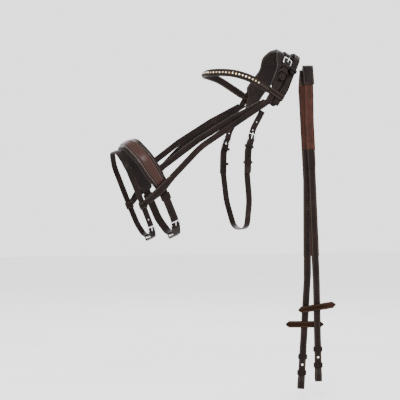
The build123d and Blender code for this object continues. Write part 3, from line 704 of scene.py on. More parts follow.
def pad_shape(run, total):
    """Width, height and side shift of the pad from how far down the side of the head it is."""
    n = min(range(len(pad_runs)), key=lambda k: abs(pad_runs[k] - run))
    down = side_down[n]
    front, rear = between(pad_front, down), between(pad_rear, down)
    end = between([(0, 1.0), (100, 1.0), (124, 0.72), (133, 0.45)], down)
    return (front - rear) / 57.0, end, (front + rear) / 2 * pad_side


pad_side = 1 if pad_line[5][1].cross(pad_line[6][0] - pad_line[5][0]).dot(crown.z) > 0 else -1


def cushion_section(width, thick, seam=3.4, roll=1.0):
    """A flat underside, a rolled edge, a sewn channel and a crowned top."""
    w, t = width / 2, thick / 2
    right = [
        (w - 0.2, -t * 0.35), (w, 0.0), (w - 0.2, t * 0.4), (w - 0.9, t * 0.4 + 0.9 * roll),
        (w - 2.0, t * 0.4 + 0.9 * roll),
        (w - seam + 0.5, t * 0.42), (w - seam, t * 0.3), (w - seam - 0.7, t * 0.45), (w - seam - 2.5, t * 0.78),
        (w * 0.55, t * 0.95), (w * 0.25, t),
    ]
    left = [(-a, h) for a, h in reversed(right)]
    bottom = [(-w + 1.2, -t), (-w * 0.5, -t), (0, -t), (w * 0.5, -t), (w - 1.2, -t)]
    return right + [(0, t)] + left + bottom


pad = strip_piece(
    "padded_crown", "bridle", pad_leather, ("crown_pad",),
    [(pad_line, cushion_section(57.0, pad_t), (3.0, 3.0), pad_shape)],
)

# %% [markdown]
# ## Crown straps and their buckles
# Two straps run over the crown. The front one comes down the near side to a buckle and the rear one
# buckles on the poll. A billet rises over its heel bar and falls to the strap's level before the
# front bar, and its tip is cut round.

# %% Crown straps
side_start, side_end = crown_line[1], crown_line[2]
tail_start, tail_end = crown_line[0], crown_line[1]
side_run = (Vector(side_end) - Vector(side_start)).length
tail_run = (Vector(tail_end) - Vector(tail_start)).length
front_heel = side_run - buckle_l - 8.0
poll_half = 19.0
front_bar = seat(crown, side_start, side_end, front_heel, bar_out, front_strap_at)
rear_bar = seat(crown, (-poll_half, 0), (poll_half, 0), poll_half - buckle_l / 2, bar_out, rear_strap_at)


def up_tail(depth):
    return tail_run * (133.0 - depth) / 55.0


join_point = on_run(tail_start, tail_end, up_tail(121.0), strap_out)
off_join = Vector((-join_point.x, join_point.y))
strap = strap_section(head_strap_w, strap_t)
front_path = [
    on_run(side_start, side_end, 1.0, billet_out),
    on_run(side_start, side_end, front_heel + step_top, billet_out),
    on_run(side_start, side_end, front_heel + buckle_l - step_foot, strap_out),
    *low_line[2:7], off_join,
]
front_crown_line = bent_line(crown, front_path, [6.0, 6.0, 20.0, 26.0, 26.0, 22.0, 36.0], front_strap_at)
hanger_top = on_run(side_start, side_end, front_heel - 6.0, strap_out)
hanger_line = bent_line(crown, [join_point, low_line[1], hanger_top], 36.0, front_strap_at)
rear_heel_x = -buckle_l / 2
rear_path = [
    on_run(side_start, side_end, side_run - 44.0, billet_out), *high_line[2:4],
    (rear_heel_x + step_top, -billet_out), (rear_heel_x + buckle_l - step_foot, -strap_out),
    *low_line[4:7], off_join,
]
rear_crown_line = bent_line(crown, rear_path, [30.0, 30.0, 4.5, 4.5, 8.0, 22.0, 36.0], rear_strap_at)
near_rear_path = [join_point, low_line[1], low_line[2], low_line[3], (rear_heel_x - 6.0, -strap_out)]
near_rear_line = bent_line(crown, near_rear_path, [36.0, 22.0, 4.0], rear_strap_at)
strip_piece(
    "rear_crown_billet", "bridle", strap_leather, ("rear_crown_strap",),
    [(rear_crown_line, strap, (6.0, 0))],
)
bm = new_bm()
add_strip(bm, near_rear_line, strap)
add_chape(bm, rear_bar, head_strap_w, 9.0)
finish_piece(bm, "near_rear_strap_sewn", "bridle", strap_leather, ("near_rear_strap",))

# %% Crown keepers
shoulder_seat = seat(crown, crown_line[2], crown_line[3], 12.0, strap_out, rear_strap_at)
rear_side_seat = seat(crown, side_start, side_end, side_run - 32.0, strap_out, rear_strap_at)
front_seat = seat(crown, side_start, side_end, front_heel, strap_out, front_strap_at)
keeper_piece("rear_keepers", "bridle", [
    (shoulder_seat, head_strap_w, *stack, 0.0), (rear_side_seat, head_strap_w, *stack, 0.0),
])
keeper_piece("front_fixed_keeper", "bridle", [(front_seat, head_strap_w, *stack, -11.0)])
keeper_piece("front_runner", "front_runner", [(front_seat, head_strap_w, *stack, -29.0)])

# %% [markdown]
# ## Cheek straps
# Two straps leave the crown's end on each side. The lower one goes to the connector and the upper one
# to the noseband's side. They are cut straight, and sag a little, so each is a strip that lies flat
# in a sheet and curves only edgeways.

# %% Connector and cheek lines
nose = tilted((-369.5, -200.0), 33.0)
chin = tilted((-400.0, -216.0), 22.5)
nose_half, lining_t, facing_t, ridge_t, nose_w = 62.0, 5.0, 3.5, 3.0, 39.0
chin_half, chin_depth = 54.0, 194.0
connector_back, connector_w, connector_t = (-290.0, -268.0), 18.0, 5.0
chin_near = [
    (-14, chin_depth), (-33, chin_depth - 4), (-chin_half + 3, chin_depth - 25),
    (-chin_half, 108), (-chin_half + 3, 32), (-22, 0),
]
chin_line = chin_near + [(-x, y) for x, y in reversed(chin_near)]
loop_seat = seat(chin, chin_line[2], chin_line[3], chin_line[2][1] - 124.0, lie)
link_dir = Vector((loop_seat.origin.x - connector_back[0], 0, loop_seat.origin.z - connector_back[1]))
link_run = link_dir.length
link = Sheet((connector_back[0], 0, connector_back[1]), link_dir, (0, -1, 0))
link_out = nose_half + lining_t + facing_t + ridge_t + keeper_t + lap + connector_t / 2
cheek_start = crown.at(join_point, front_strap_at)
cheek_end = Vector((connector_back[0], -link_out, connector_back[1]))


def side_sheet(start, end):
    along = (end - start).normalized()
    out = Vector((0, -1, 0)) - along * -along.y
    return Sheet(start, along, out.normalized().cross(along))


cheek = side_sheet(cheek_start, cheek_end)
cheek_run = (cheek_end - cheek_start).length
lower_route = [(-5, 2), (cheek_run * 0.3, -5), (cheek_run * 0.68, -13), (cheek_run + 4, 0)]
lower_line = flat_line(cheek, lower_route)
upper_start = cheek_start + Vector((0, strap_t + 0.3, 0))
upper_end = Vector((-323.0, -(nose_half + lining_t - 1.0), -256.0))
upper_run = (upper_end - upper_start).length
upper_route = [(8, -1), (upper_run * 0.3, -8), (upper_run * 0.62, -9), (upper_run, 0)]
upper_line = flat_line(side_sheet(upper_start, upper_end), upper_route)

# %% Cheek straps
for side, turn in (("near", lambda line: line), ("off", mirrored)):
    strip_piece(
        side + "_upper_cheek", "bridle", strap_leather, (side + "_upper_cheek_strap",),
        [(turn(upper_line), strap)],
    )
bm = new_bm()
add_strip(bm, lower_line, strap)
add_strip(bm, hanger_line, strap)
add_chape(bm, front_bar, head_strap_w, 20.0)
finish_piece(bm, "near_cheek", "bridle", strap_leather, ("near_cheek_strap",))
strip_piece(
    "front_crown_billet", "bridle", strap_leather, ("front_crown_strap",),
    [(front_crown_line, strap, (6.0, 0)), (mirrored(lower_line), strap)],
)

# %% [markdown]
# ## Noseband
# The noseband is a wide soft lining with rolled edges. A stiffer facing is sewn on it, raised over a
# filler in the middle, polished, and set with rows of fancy stitching between two fine ridges. All
# of that is in the two sections; the strip maker carries them round the nose.

# %% Noseband
nose_near = [(-nose_half, 117), (-nose_half + 3, 36), (-26, 0)]
nose_line = nose_near + [(-x, y) for x, y in reversed(nose_near)]
nose_radii = [34.0, 30.0, 30.0, 34.0]


def nose_layer(low, thick):
    out = low + thick / 2
    return bent_line(nose, parallel(nose_line, out), grown(nose_radii, out))


def lining_section(width, thick):
    """Soft leather: flat against the nose, with a fat roll along each edge."""
    w, t = width / 2, thick / 2
    right = [
        (w - 0.9, -t + 0.2), (w - 0.1, -t * 0.35), (w + 0.5, t * 0.3), (w + 0.3, t + 0.5), (w - 0.6, t + 1.0),
        (w - 1.7, t + 0.7), (w - 2.3, t), (w - 4.0, t), (w * 0.5, t),
    ]
    left = [(-a, h) for a, h in reversed(right)]
    bottom = [(-w + 2.5, -t), (-w * 0.45, -t - 0.15), (0, -t), (w * 0.45, -t - 0.15), (w - 2.5, -t)]
    return right + left + bottom


def facing_section():
    """From the lining up: a flat sewn margin, a fine ridge, a groove and the raised middle."""
    right = [
        (16.6, -1.75), (17.1, -1.3), (17.2, 0.9), (16.9, 1.5), (16.2, 1.75), (15.5, 1.75), (15.2, 1.45), (14.9, 1.75),
        (13.6, 1.75), (13.2, 2.6), (12.6, 3.0), (12.0, 2.6), (11.6, 1.8), (11.1, 1.8), (10.7, 2.9), (9.8, 4.1),
        (8.4, 4.75), (6.0, 5.15), (3.0, 5.35), (0, 5.4),
    ]
    return right + [(-a, h) for a, h in reversed(right[:-1])]


def nose_ends(run, total):
    """The band keeps its width round the nose and draws in a little at its two ends."""
    near_end = min(run, total - run)
    return between([(0, 0.66), (22, 0.84), (48, 1.0)], near_end), between([(0, 0.7), (20, 1.0)], near_end), 0.0


band_lining = strip_piece(
    "noseband_padding", "bridle", pad_leather, ("noseband_lining",),
    [(nose_layer(0.0, lining_t), lining_section(nose_w, lining_t), (5.0, 5.0), nose_ends)],
)
facing_line = [(p, o) for p, o in nose_layer(lining_t, facing_t)][1:-1]
strip_piece(
    "noseband_raised_facing", "bridle", raised_leather, ("noseband_facing",),
    [(facing_line, facing_section(), (4.0, 4.0), nose_ends)],
)

# %% [markdown]
# ## Connectors
# A connector joins the noseband's end and the cheek strap to the front strap. It is a stiff doubled
# bar, widest in its middle, and it ends in a loop that the front strap passes through.

# %% Connectors
chin_low = parallel(chin_line, lie)
chin_high = parallel(chin_line, lie + bar_lift + over_lift)
loop_top = chin_half + lie + strap_t / 2 + lap / 2 + keeper_t / 2
bar_line = [
    (0, link_out), (link_run * 0.62, link_out), (link_run * 0.86, loop_top + 2.0), (link_run - 5.0, loop_top + 0.6),
]
bar_stations = [(p, -out) for p, out in bent_line(link, bar_line, 25.0, 0.0, -1)]
if bar_stations[3][1].y > 0:
    bar_stations = [(p, -out) for p, out in bar_stations]


def connector_section(width, thick):
    w, t = width / 2, thick / 2
    right = [
        (w - 0.9, -t), (w - 0.2, -t * 0.6), (w, 0), (w - 0.15, t * 0.5), (w - 0.7, t * 0.8), (w - 1.6, t * 0.84),
        (w - 2.0, t * 0.66), (w - 2.6, t * 0.9), (w - 4.0, t + 0.2), (0, t + 0.5),
    ]
    return right + [(-a, h) for a, h in reversed(right[:-1])]


def bar_shape(run, total):
    wide = between([(0, 0.74), (total * 0.42, 1.06), (total, 0.78)], run)
    return wide, between([(total - 12, 1.0), (total, 0.6)], run), 0.0


def flipped(place):
    """The same place on the off side."""
    origin, x, y = ([v.x, -v.y, v.z] for v in (place.origin, place.x, place.y))
    return Sheet(origin, x, y)


for side in ("near", "off"):
    line = bar_stations if side == "near" else mirrored(bar_stations)
    place = loop_seat if side == "near" else flipped(loop_seat)
    low, high = (-strap_t / 2, strap_t / 2) if side == "near" else (-strap_t / 2, strap_t / 2)
    bm = new_bm()
    add_strip(bm, line, connector_section(connector_w, connector_t), (4.0, 0), bar_shape)
    add_keeper(bm, place, chin_strap_w, low, high, 0.0, connector_w - 2.0)
    finish_piece(bm, side + "_connector_bar", "bridle", sewn_leather, (side + "_connector",))

# %% [markdown]
# ## Chin strap and jaw strap
# The front strap comes round under the chin and buckles there, and the jaw strap does the same behind
# it. Each billet rises over its heel bar and lies back through a keeper.

# %% Chin strap and jaw strap


def buckled(sheet, line, low, high):
    start, end = line[1], line[2]
    heel = (Vector(end) - Vector(start)).length - buckle_l - 3.0
    bar = seat(sheet, start, end, heel, lie + bar_lift)
    top = lie + bar_lift + over_lift
    billet = [(10, high[0].y), high[0], high[1], on_run(start, end, heel + step_top, top)]
    billet.append(on_run(start, end, heel + buckle_l - step_foot, lie))
    return bar, billet, [low[0], low[1], on_run(start, end, heel - 5.5, lie)]


chin_bar, chin_billet, chin_under = buckled(chin, chin_line, chin_low, chin_high)
chin_radii = [24.0, 24.0, 4.0, 4.0] + [28.0, 60.0, 34.0, 34.0, 34.0, 34.0, 60.0, 28.0, 24.0, 24.0, 24.0, 24.0]
chin_stations = bent_line(chin, chin_billet + chin_low[2:12] + chin_under, chin_radii)
bm = new_bm()
add_strip(bm, chin_stations, strap_section(chin_strap_w, strap_t), (6.0, 0))
add_chape(bm, chin_bar, chin_strap_w, 10.0)
finish_piece(bm, "front_and_chin_strap", "bridle", chin_leather, ("chin_strap",))
chin_keeper_seat = seat(chin, chin_line[11], chin_line[0], 14.0, lie)
keeper_piece("chin_keeper", "bridle", [(chin_keeper_seat, chin_strap_w, *stack, 0.0)])

jaw = tilted((-309.0, -300.0), 23.2)
jaw_half, jaw_depth = 63.0, 98.0
jaw_near = [(-12, jaw_depth), (-30, jaw_depth - 4), (-60, 66), (-jaw_half, -4)]
jaw_line = jaw_near + [(-x, y) for x, y in reversed(jaw_near)]
jaw_low, jaw_high = parallel(jaw_line, lie), parallel(jaw_line, lie + bar_lift + over_lift)
jaw_bar, jaw_billet, jaw_under = buckled(jaw, jaw_line, jaw_low, jaw_high)
near_jaw = bent_line(jaw, jaw_billet + jaw_low[2:4], [20.0, 24.0, 4.0, 4.0, 26.0])
off_jaw = bent_line(jaw, jaw_low[4:8] + jaw_under, [30.0, 30.0, 24.0, 24.0, 20.0])
wide_strap = strap_section(jaw_strap_w, strap_t)
strip_piece(
    "near_jaw_billet", "bridle", strap_leather, ("near_jaw_strap",),
    [(near_jaw, wide_strap, (7.0, 0))],
)
bm = new_bm()
add_strip(bm, off_jaw, wide_strap)
add_chape(bm, jaw_bar, jaw_strap_w, 11.0)
finish_piece(bm, "off_jaw_strap_sewn", "bridle", strap_leather, ("off_jaw_strap",))
jaw_keeper_seat = seat(jaw, jaw_line[7], jaw_line[0], 12.0, lie)
keeper_piece("jaw_keeper", "bridle", [(jaw_keeper_seat, jaw_strap_w, *stack, 0.0)])
side_seat = seat(jaw, jaw_line[2], jaw_line[3], jaw_line[2][1] - 13.0, lie)
keeper_piece("side_keepers", "bridle", [
    (place, jaw_strap_w, -strap_t / 2, strap_t / 2, 0.0, 15.0) for place in (side_seat, flipped(side_seat))
])

# %% [markdown]
# ## Browband
# The browband carries a row of stones in a raised channel with a piped edge on each side. Its ends
# are loops that slide on the two crown straps. The band and its channel are strips again.

# %% Browband and channel
brow_front, brow_w, brow_t, brow_loop_l, brow_bow = (-189.0, -35.0), 16.0, 5.0, 14.0, 12.0


def loop_place(across, out):
    return seat(crown, tail_start, tail_end, up_tail(100.0), out, across)


brow_back = loop_place(0.0, 0.0).origin
brow_dir = Vector((brow_front[0] - brow_back.x, 0, brow_front[1] - brow_back.z))
brow = Sheet((brow_back.x, 0, brow_back.z), (0, 1, 0), brow_dir)
brow_half = 77.0 + lie + pad_t
brow_near = [(-brow_half, 12), (-brow_half + 1, 62), (-61, 114), (-26, brow_dir.length)]
brow_line = brow_near + [(-x, y) for x, y in reversed(brow_near)]
brow_radii = [80.0, 60.0, 45.0, 45.0, 60.0, 80.0]
channel_t = 1.5


def brow_stations(out, start=0.0):
    """The band's line, moved outwards, and arched up at the sides of the forehead."""
    points = parallel(brow_line, -out)
    points[0] += Vector((0, start))
    points[-1] += Vector((0, start))
    stations = []
    for spot, away in bent_line(brow, points, grown(brow_radii, out), 0.0, -1):
        share = min(1.0, max(0.0, (spot - brow.origin).dot(brow.y) / brow_dir.length))
        stations.append((spot + brow.z * (brow_bow * sin(pi * share ** 1.3)), away))
    return stations


def brow_shape(run, total):
    near_end = min(run, total - run)
    return between([(0, 0.8), (14, 1.0)], near_end), between([(0, 0.6), (10, 1.0)], near_end), 0.0


pair_w = front_strap_at - rear_strap_at + head_strap_w
pair_place = loop_place((front_strap_at + rear_strap_at) / 2, strap_out)
bm = new_bm()
add_strip(bm, brow_stations(0.0), cushion_section(brow_w + 1.2, brow_t, 2.2, 0.5), (0, 0), brow_shape)
for place in (pair_place, flipped(pair_place)):
    add_keeper(bm, place, pair_w, -strap_t / 2, strap_t / 2, 0.0, brow_loop_l)
finish_piece(bm, "browband_sewn", "browband", sewn_leather, ("browband",))


def channel_section(width, thick):
    """A shallow tray between two rolls of piping."""
    w, t = width / 2, thick / 2
    right = [
        (w - 0.4, -t), (w, -t * 0.2), (w + 0.1, t * 0.6), (w - 0.3, t + 0.3), (w - 0.9, t + 0.3),
        (w - 1.3, t * 0.7), (w - 1.6, t * 0.2),
    ]
    return right + [(0, t * 0.1)] + [(-a, h) for a, h in reversed(right)]


channel_line = brow_stations((brow_t + channel_t) / 2, 10.0)
strip_piece(
    "browband_piping", "browband", pad_leather, ("browband_channel",),
    [(channel_line, channel_section(9.0, channel_t), (3.0, 3.0))],
)

# %% [markdown]
# ## Stones
# Each stone is a cut crystal in a small metal cup: a cone of eight sides whose girdle is bevelled and
# whose top is a flat table. Clear and gold stones take turns, so they are two pieces, and the cups
# are a third.

# %% Stones
stone_r, stone_pitch, stone_count = 2.9, 7.8, 39
stone_line = brow_stations(brow_t / 2 + channel_t - 0.3)
stone_runs = [0.0]
for (a, _), (b, _) in zip(stone_line, stone_line[1:]):
    stone_runs.append(stone_runs[-1] + (b - a).length)


def stone_place(n):
    run = stone_runs[-1] / 2 + (n - (stone_count - 1) / 2) * stone_pitch
    k = max(i for i in range(len(stone_runs) - 1) if stone_runs[i] <= run)
    t = (run - stone_runs[k]) / (stone_runs[k + 1] - stone_runs[k])
    (p, u), (q, v) = stone_line[k], stone_line[k + 1]
    return ring_matrix(p.lerp(q, t), u.lerp(v, t), (q - p).normalized()) @ Matrix.Rotation(-pi / 2, 4, "X")


def add_stone(bm, place):
    """A cut stone: pavilion hidden in its cup, girdle, crown facets and a flat table."""
    base = place @ Matrix.Translation((0, 0, 0.6))
    up = (place.to_3x3() @ Vector((0, 0, 1))).normalized()
    for share, depth, rise in ((0.42, 1.3, 0.95), (0.74, 0.4, 0.1)):
        made = bmesh.ops.create_cone(
            bm, cap_ends=True, segments=8, radius1=stone_r * 0.74, radius2=stone_r * share, depth=depth,
            matrix=base @ Matrix.Translation((0, 0, rise)),
        )
        turn = Matrix.Rotation(pi / 8, 3, up)
        bmesh.ops.rotate(bm, verts=made["verts"], cent=place.translation, matrix=turn)


def add_cup(bm, place):
    bmesh.ops.create_cone(
        bm, cap_ends=True, segments=16, radius1=stone_r * 0.9, radius2=stone_r * 0.86, depth=0.9,
        matrix=place @ Matrix.Translation((0, 0, 0.35)),
    )
    for n in range(4):
        turn = Matrix.Rotation(radians(45 + 90 * n), 4, "Z") @ Matrix.Translation((stone_r * 0.76, 0, 1.1))
        bmesh.ops.create_icosphere(bm, subdivisions=1, radius=0.45, matrix=place @ turn)


for name, first, material in (("clear_stones", 0, clear_stone), ("gold_stones", 1, gold_stone)):
    bm = new_bm()
    for n in range(first, stone_count, 2):
        add_stone(bm, stone_place(n))
    finish_piece(bm, name, "browband", material, ("browband_stones",), False)
bm = new_bm()
for n in range(stone_count):
    add_cup(bm, stone_place(n))
finish_piece(bm, "stone_cups", "browband", brass, ("browband_stones",), False)

# %% [markdown]
# ## Throatlatch
# The throatlatch hangs from the crown on each side by a billet, and each billet passes a buckle and
# two keepers. The strap under the throat joins the two buckles. Its side runs are flat, and the run
# under the throat bends the other way, so the piece is made of three strips that overlap.

# %% Throatlatch
throat_half = 77.0
throat_line = [(-84.0, -122.0), (-105.0, -160.0), (-119.0, -210.0), (-120.0, -262.0)]
throat_foot = (-107.0, -385.0)
swing_at, throat_bend, throat_low, throat_end = [Vector((x, -throat_half - lie, z)) for x, z in throat_line]
buckle_way = (throat_low - throat_bend).normalized()
throat_heel = throat_bend + buckle_way * (buckle_l + 14.0)
outwards = Vector((0, -1, 0))
throat_bar = Sheet(throat_heel + outwards * bar_lift, -buckle_way, outwards.cross(-buckle_way))
lead = (throat_end - throat_low).normalized()
top_level = bar_lift + over_lift


def side_stations(spots, radius, level):
    """A strap flat on the side of the throat, with its spots given in space."""
    sheet = Sheet((0, -throat_half - lie, 0), (1, 0, 0), (0, 0, 1))
    line = rounded([(p.x, p.z) for p in spots], radius)
    return [(sheet.at(p) + outwards * level, outwards) for p in line]


entry = throat_heel - buckle_way * (buckle_l - step_foot + 4.0)
step_run = buckle_l - step_foot - step_top
billet_top = entry + buckle_way * (8 + step_run)
upper_part = side_stations([swing_at, throat_bend, entry], 60.0, 0.0)
step_part = [
    (entry + buckle_way * (4 + step_run * t) + outwards * (top_level * t * t * (3 - 2 * t)), outwards)
    for t in (0.1, 0.3, 0.5, 0.7, 0.9)
]
lower_part = side_stations([billet_top, throat_low, throat_end], 90.0, top_level)
billet_stations = upper_part + step_part + lower_part
sleeve_part = side_stations([throat_heel + buckle_way * 5.5, throat_low, throat_end + lead], 90.0, 0.0)
foot_dir = Vector((throat_foot[0] - throat_end.x, 0, throat_foot[1] - throat_end.z))
under = Sheet((throat_end.x, 0, throat_end.z), (0, 1, 0), foot_dir)
half_out, foot = throat_half + lie, foot_dir.length
under_near = [(-half_out, -1), (-half_out + 3, 60), (-half_out + 34, foot - 8), (-18, foot)]
under_line = under_near + [(-x, y) for x, y in reversed(under_near)]
under_stations = bent_line(under, under_line, 60.0, 0.0, -1)
for side, turn in (("near", lambda line: line), ("off", mirrored)):
    strip_piece(
        side + "_throat_billet_strap", "throatlatch", throat_leather, (side + "_throat_billet",),
        [(turn(billet_stations), strap, (0, 7.0))],
    )
bm = new_bm()
add_strip(bm, sleeve_part, strap)
add_strip(bm, mirrored(sleeve_part), strap)
add_strip(bm, under_stations, strap)
for place in (throat_bar, flipped(throat_bar)):
    add_chape(bm, place, head_strap_w, 18.0)
finish_piece(bm, "throat_strap", "throatlatch", strap_leather, ("throatlatch",))
fixed_place = Sheet(throat_heel + buckle_way * 12.0, buckle_way, outwards.cross(buckle_way))
runner_place = Sheet(throat_low + lead * 26.0, lead, outwards.cross(lead))
throat_places = (fixed_place, flipped(fixed_place))
keeper_piece("throat_keepers", "throatlatch", [(p, head_strap_w, *stack, 0.0) for p in throat_places])
keeper_piece("near_throat_runner", "near_throat_runner", [(runner_place, head_strap_w, *stack, 0.0)])
keeper_piece("off_throat_runner", "off_throat_runner", [(flipped(runner_place), head_strap_w, *stack, 0.0)])

# %% [markdown]
# ## Reins
# Each rein is webbing at the top, where it lies over the crest of the neck, and leather below. The
# webbing is sewn into a doubled leather tab. The leather ends in a billet that is folded up round its
# ring, held by a hook stud and two keepers. The straps hang flat, so they are strips in an upright
# sheet; the folded billet bends through its thickness, so it is a second strip.

# %% Rein lines
hang_half, hang_top, crest_half, crest_z = 45.0, -60.0, 17.0, -28.0
level_b, level_a = 2.0, 12.0
out_a, out_b = hang_half + level_a, hang_half + level_b
pivot_z = hang_top - 12.0
rein_top = pivot_z + 0.3
outer_route = [(51.7, hang_top), (53.0, -144.0), (58.0, -240.0), (68.4, -500.0), (73.1, -727.0)]
inner_route = [(45.0, hang_top), (46.0, -144.0), (48.0, -274.0), (48.6, -500.0), (34.0, -745.0)]
grip_end, hand_grip_end, hand_bottom = -205.0, -450.0, -562.0
billet_step, billet_loop, billet_l = strap_t + 0.3, 12.0, 94.0


def rein_face(out):
    return Sheet(across_dir * out, face_dir, (0, 0, 1))


def width_at(route, z):
    for (w0, z0), (w1, z1) in zip(route, route[1:]):
        if z1 <= z <= z0:
            return w0 + (w1 - w0) * (z - z0) / (z1 - z0)
    return route[-1][0]


def route_from(route, top, bottom):
    inner = [(w, z) for w, z in route if bottom < z < top]
    return [(width_at(route, top), top)] + inner + [(width_at(route, bottom), bottom)]


def hanging(route, out, top, bottom, level=0.0):
    """Stations down a hanging rein: it faces away from the neck on either side."""
    face = rein_face(out)
    away = across_dir * (-1 if out < 0 else 1)
    line = rounded(route_from(route, top, bottom), 150.0, 9.0)
    return [(face.at(p) + away * level, away) for p in line]


def rein_end(route, out):
    """The frame of a rein's straight foot, with x up the rein and z outwards."""
    face = rein_face(out)
    start = face.at(route[-1])
    up = (face.at(route[-2]) - start).normalized()
    return Sheet(start, up, (-across_dir).cross(up))


def web_section(width, thick):
    w, t = width / 2, thick / 2
    right = [
        (w - 0.5, -t), (w, -t * 0.4), (w, t * 0.4), (w - 0.5, t), (w - 1.4, t), (w - 1.7, t - 0.2),
        (w * 0.4, t - 0.1),
    ]
    left = [(-a, h) for a, h in reversed(right)]
    return right + left + [(0, -t)]


# %% Rein leather
def foot_fold(end):
    """The billet folded round the ring: up the back, round the foot and up the front."""
    side = (billet_loop + strap_t - billet_step) / 2
    far = billet_step + side
    turned = [(15, -side), (0, -side), (0, far), (15, far)]
    path = [(100, 0), (29, 0), *turned, (29, billet_step), (billet_l, billet_step)]
    line = rounded(path, [12.0, 12.0, 7.0, 7.0, 12.0, 12.0], 5.0)
    result = []
    for n, p in enumerate(line):
        way = line[min(n + 1, len(line) - 1)] - line[max(n - 1, 0)]
        away = Vector((way.y, -way.x)).normalized()
        spot = end.origin + end.x * p.x + end.z * p.y
        result.append((spot, end.x * away.x + end.z * away.y))
    return result


def sewn_tab(width, thick):
    """Two layers of leather with a filled middle and a stitched margin."""
    w, t = width / 2, thick / 2
    right = [
        (w - 0.6, -t), (w, -t * 0.5), (w - 0.2, 0), (w, t * 0.5), (w - 0.6, t), (w - 2.0, t), (w - 2.4, t - 0.3),
        (w - 2.8, t), (w - 5.0, t + 0.4),
    ]
    return right + [(0, t + 0.5)] + [(-a, h) for a, h in reversed(right)]


rein_strap = strap_section(rein_w, strap_t)
for name, route, out in (("outer", outer_route, -out_a), ("inner", inner_route, -out_b)):
    body = name + "_rein"
    grip = [(hanging(route, out, rein_top, grip_end - 2.0), web_section(grip_w, grip_t))]
    strip_piece(name + "_web_grip", body, web, (name + "_rein_grip",), grip)
    end = rein_end(route, out)
    leg_bottom = (end.origin + end.x * 99.0).z
    strips = [
        (hanging(route, out, grip_end - 4.0, leg_bottom), rein_strap),
        (foot_fold(end), rein_strap, (0, 6.0)),
        (hanging(route, out, grip_end, grip_end - 45.0), sewn_tab(rein_w + 2.0, strap_t + 2.6), (2.0, 9.0)),
    ]
    strip_piece(name + "_rein_forepart", body, sewn_leather, (body,), strips)
    places = [(end, rein_w, -strap_t / 2, billet_step + strap_t / 2, at, 11.0) for at in (36.0, 72.0)]
    keeper_piece(name + "_rein_keepers", body, places)

# %% [markdown]
# ## Rein stops
# A rein stop is a pointed leather bar across the rein. It keeps a martingale ring from sliding on to
# the billet, and a loop behind it grips the rein.

# %% Rein stops
stop_w, stop_t = 15.0, 3.0


def add_stop(bm, route, out, z, tilt):
    face = rein_face(out)
    spot = face.at((width_at(route, z), z))
    end = rein_end(route, out)
    along = face_dir * cos(radians(tilt)) + Vector((0, 0, sin(radians(tilt))))
    level = strap_t / 2 + lap / 2 + stop_t / 2
    half_runs = (15, 30, 35.5, 38, 41, 43)
    runs = [-run for run in reversed(half_runs)] + [0] + list(half_runs)
    line = [(spot + along * run + end.z * level, end.z) for run in runs]

    def pointed(run, total):
        near_end = min(run, total - run)
        return min(1.0, 0.13 + 0.87 * near_end / 7.5), between([(0, 0.7), (6, 1.0)], near_end), 0.0

    add_strip(bm, line, sewn_tab(stop_w, stop_t), (0, 0), pointed)
    add_keeper(bm, Sheet(spot, end.x, end.y), rein_w, -strap_t / 2, strap_t / 2, 0.0, stop_w - 3.0)


for name, route, out, z, tilt in (
    ("outer", outer_route, -out_a, -561.0, 9.3), ("inner", inner_route, -out_b, -600.0, 0.0),
):
    bm = new_bm()
    add_stop(bm, route, out, z, tilt)
    finish_piece(bm, name + "_stop_bar", name + "_stop", stop_leather, (name + "_rein_stop",))

# %% [markdown]
# ## Reins over the crest, and their far half
# The webbing lies over the crest with a leather hand piece sewn round it. Behind the neck the reins
# hang as they do in front, and the leather that joins them turns under in one loop.

# %% Crest webbing and hand pieces
crest_sheet = Sheet((0, 0, 0), across_dir, (0, 0, -1))
near_crest = [(-hang_half, -hang_top), (-crest_half, -crest_z)]
crest_line = near_crest + [(-x, y) for x, y in reversed(near_crest)]
crest_sign = 1 if crest_sheet.z.dot(face_dir) > 0 else -1


def crest_stations(w, level):
    ends = -pivot_z + 0.3
    line = parallel([(-hang_half, -hang_top + 5), *crest_line, (hang_half, -hang_top + 5)], level)
    line[0], line[-1] = Vector((line[0].x, ends)), Vector((line[-1].x, ends))
    return bent_line(crest_sheet, line, 12.0, w * crest_sign)


def sleeve_section(width, thick):
    w, t = width / 2, thick / 2
    right = [
        (w - 0.8, -t), (w, -t * 0.5), (w, t * 0.5), (w - 0.8, t), (w - 2.2, t), (w - 2.6, t - 0.3), (w - 3.0, t),
    ]
    return right + [(0, t + 0.3)] + [(-a, h) for a, h in reversed(right)] + [(0, -t)]


hand_bm = new_bm()
for name, w, level in (("outer", outer_route[0][0], level_a), ("inner", inner_route[0][0], level_b)):
    strips = [(crest_stations(w, level), web_section(grip_w, grip_t))]
    strip_piece(name + "_crest_web", "bridle", web, (name + "_crest_grip",), strips)
    near = [(p, out) for p, out in crest_stations(w, level) if p.dot(across_dir) < -8.0 and p.z > -61.0]
    add_strip(hand_bm, near, sleeve_section(grip_w + 4.4, grip_t + 3.8), (1.5, 1.5))
finish_piece(hand_bm, "hand_pieces", "bridle", sewn_leather, ("hand_stops",))

# %% Far half of the reins
far_shift = 8.3


def far_route(route):
    """A rein's route on the far side, eased back by far_shift over its first 200 mm."""
    return [(w + far_shift * min(1.0, (hang_top - z) / 200.0), z) for w, z in route]


far_a, far_b = far_route(outer_route), far_route(inner_route)
far_web = web_section(grip_w, grip_t)
far = [(hanging(r, o, rein_top, hand_grip_end), far_web) for r, o in ((far_a, out_a), (far_b, out_b))]
strip_piece("far_web_grips", "far_reins", web, ("far_grips",), far)


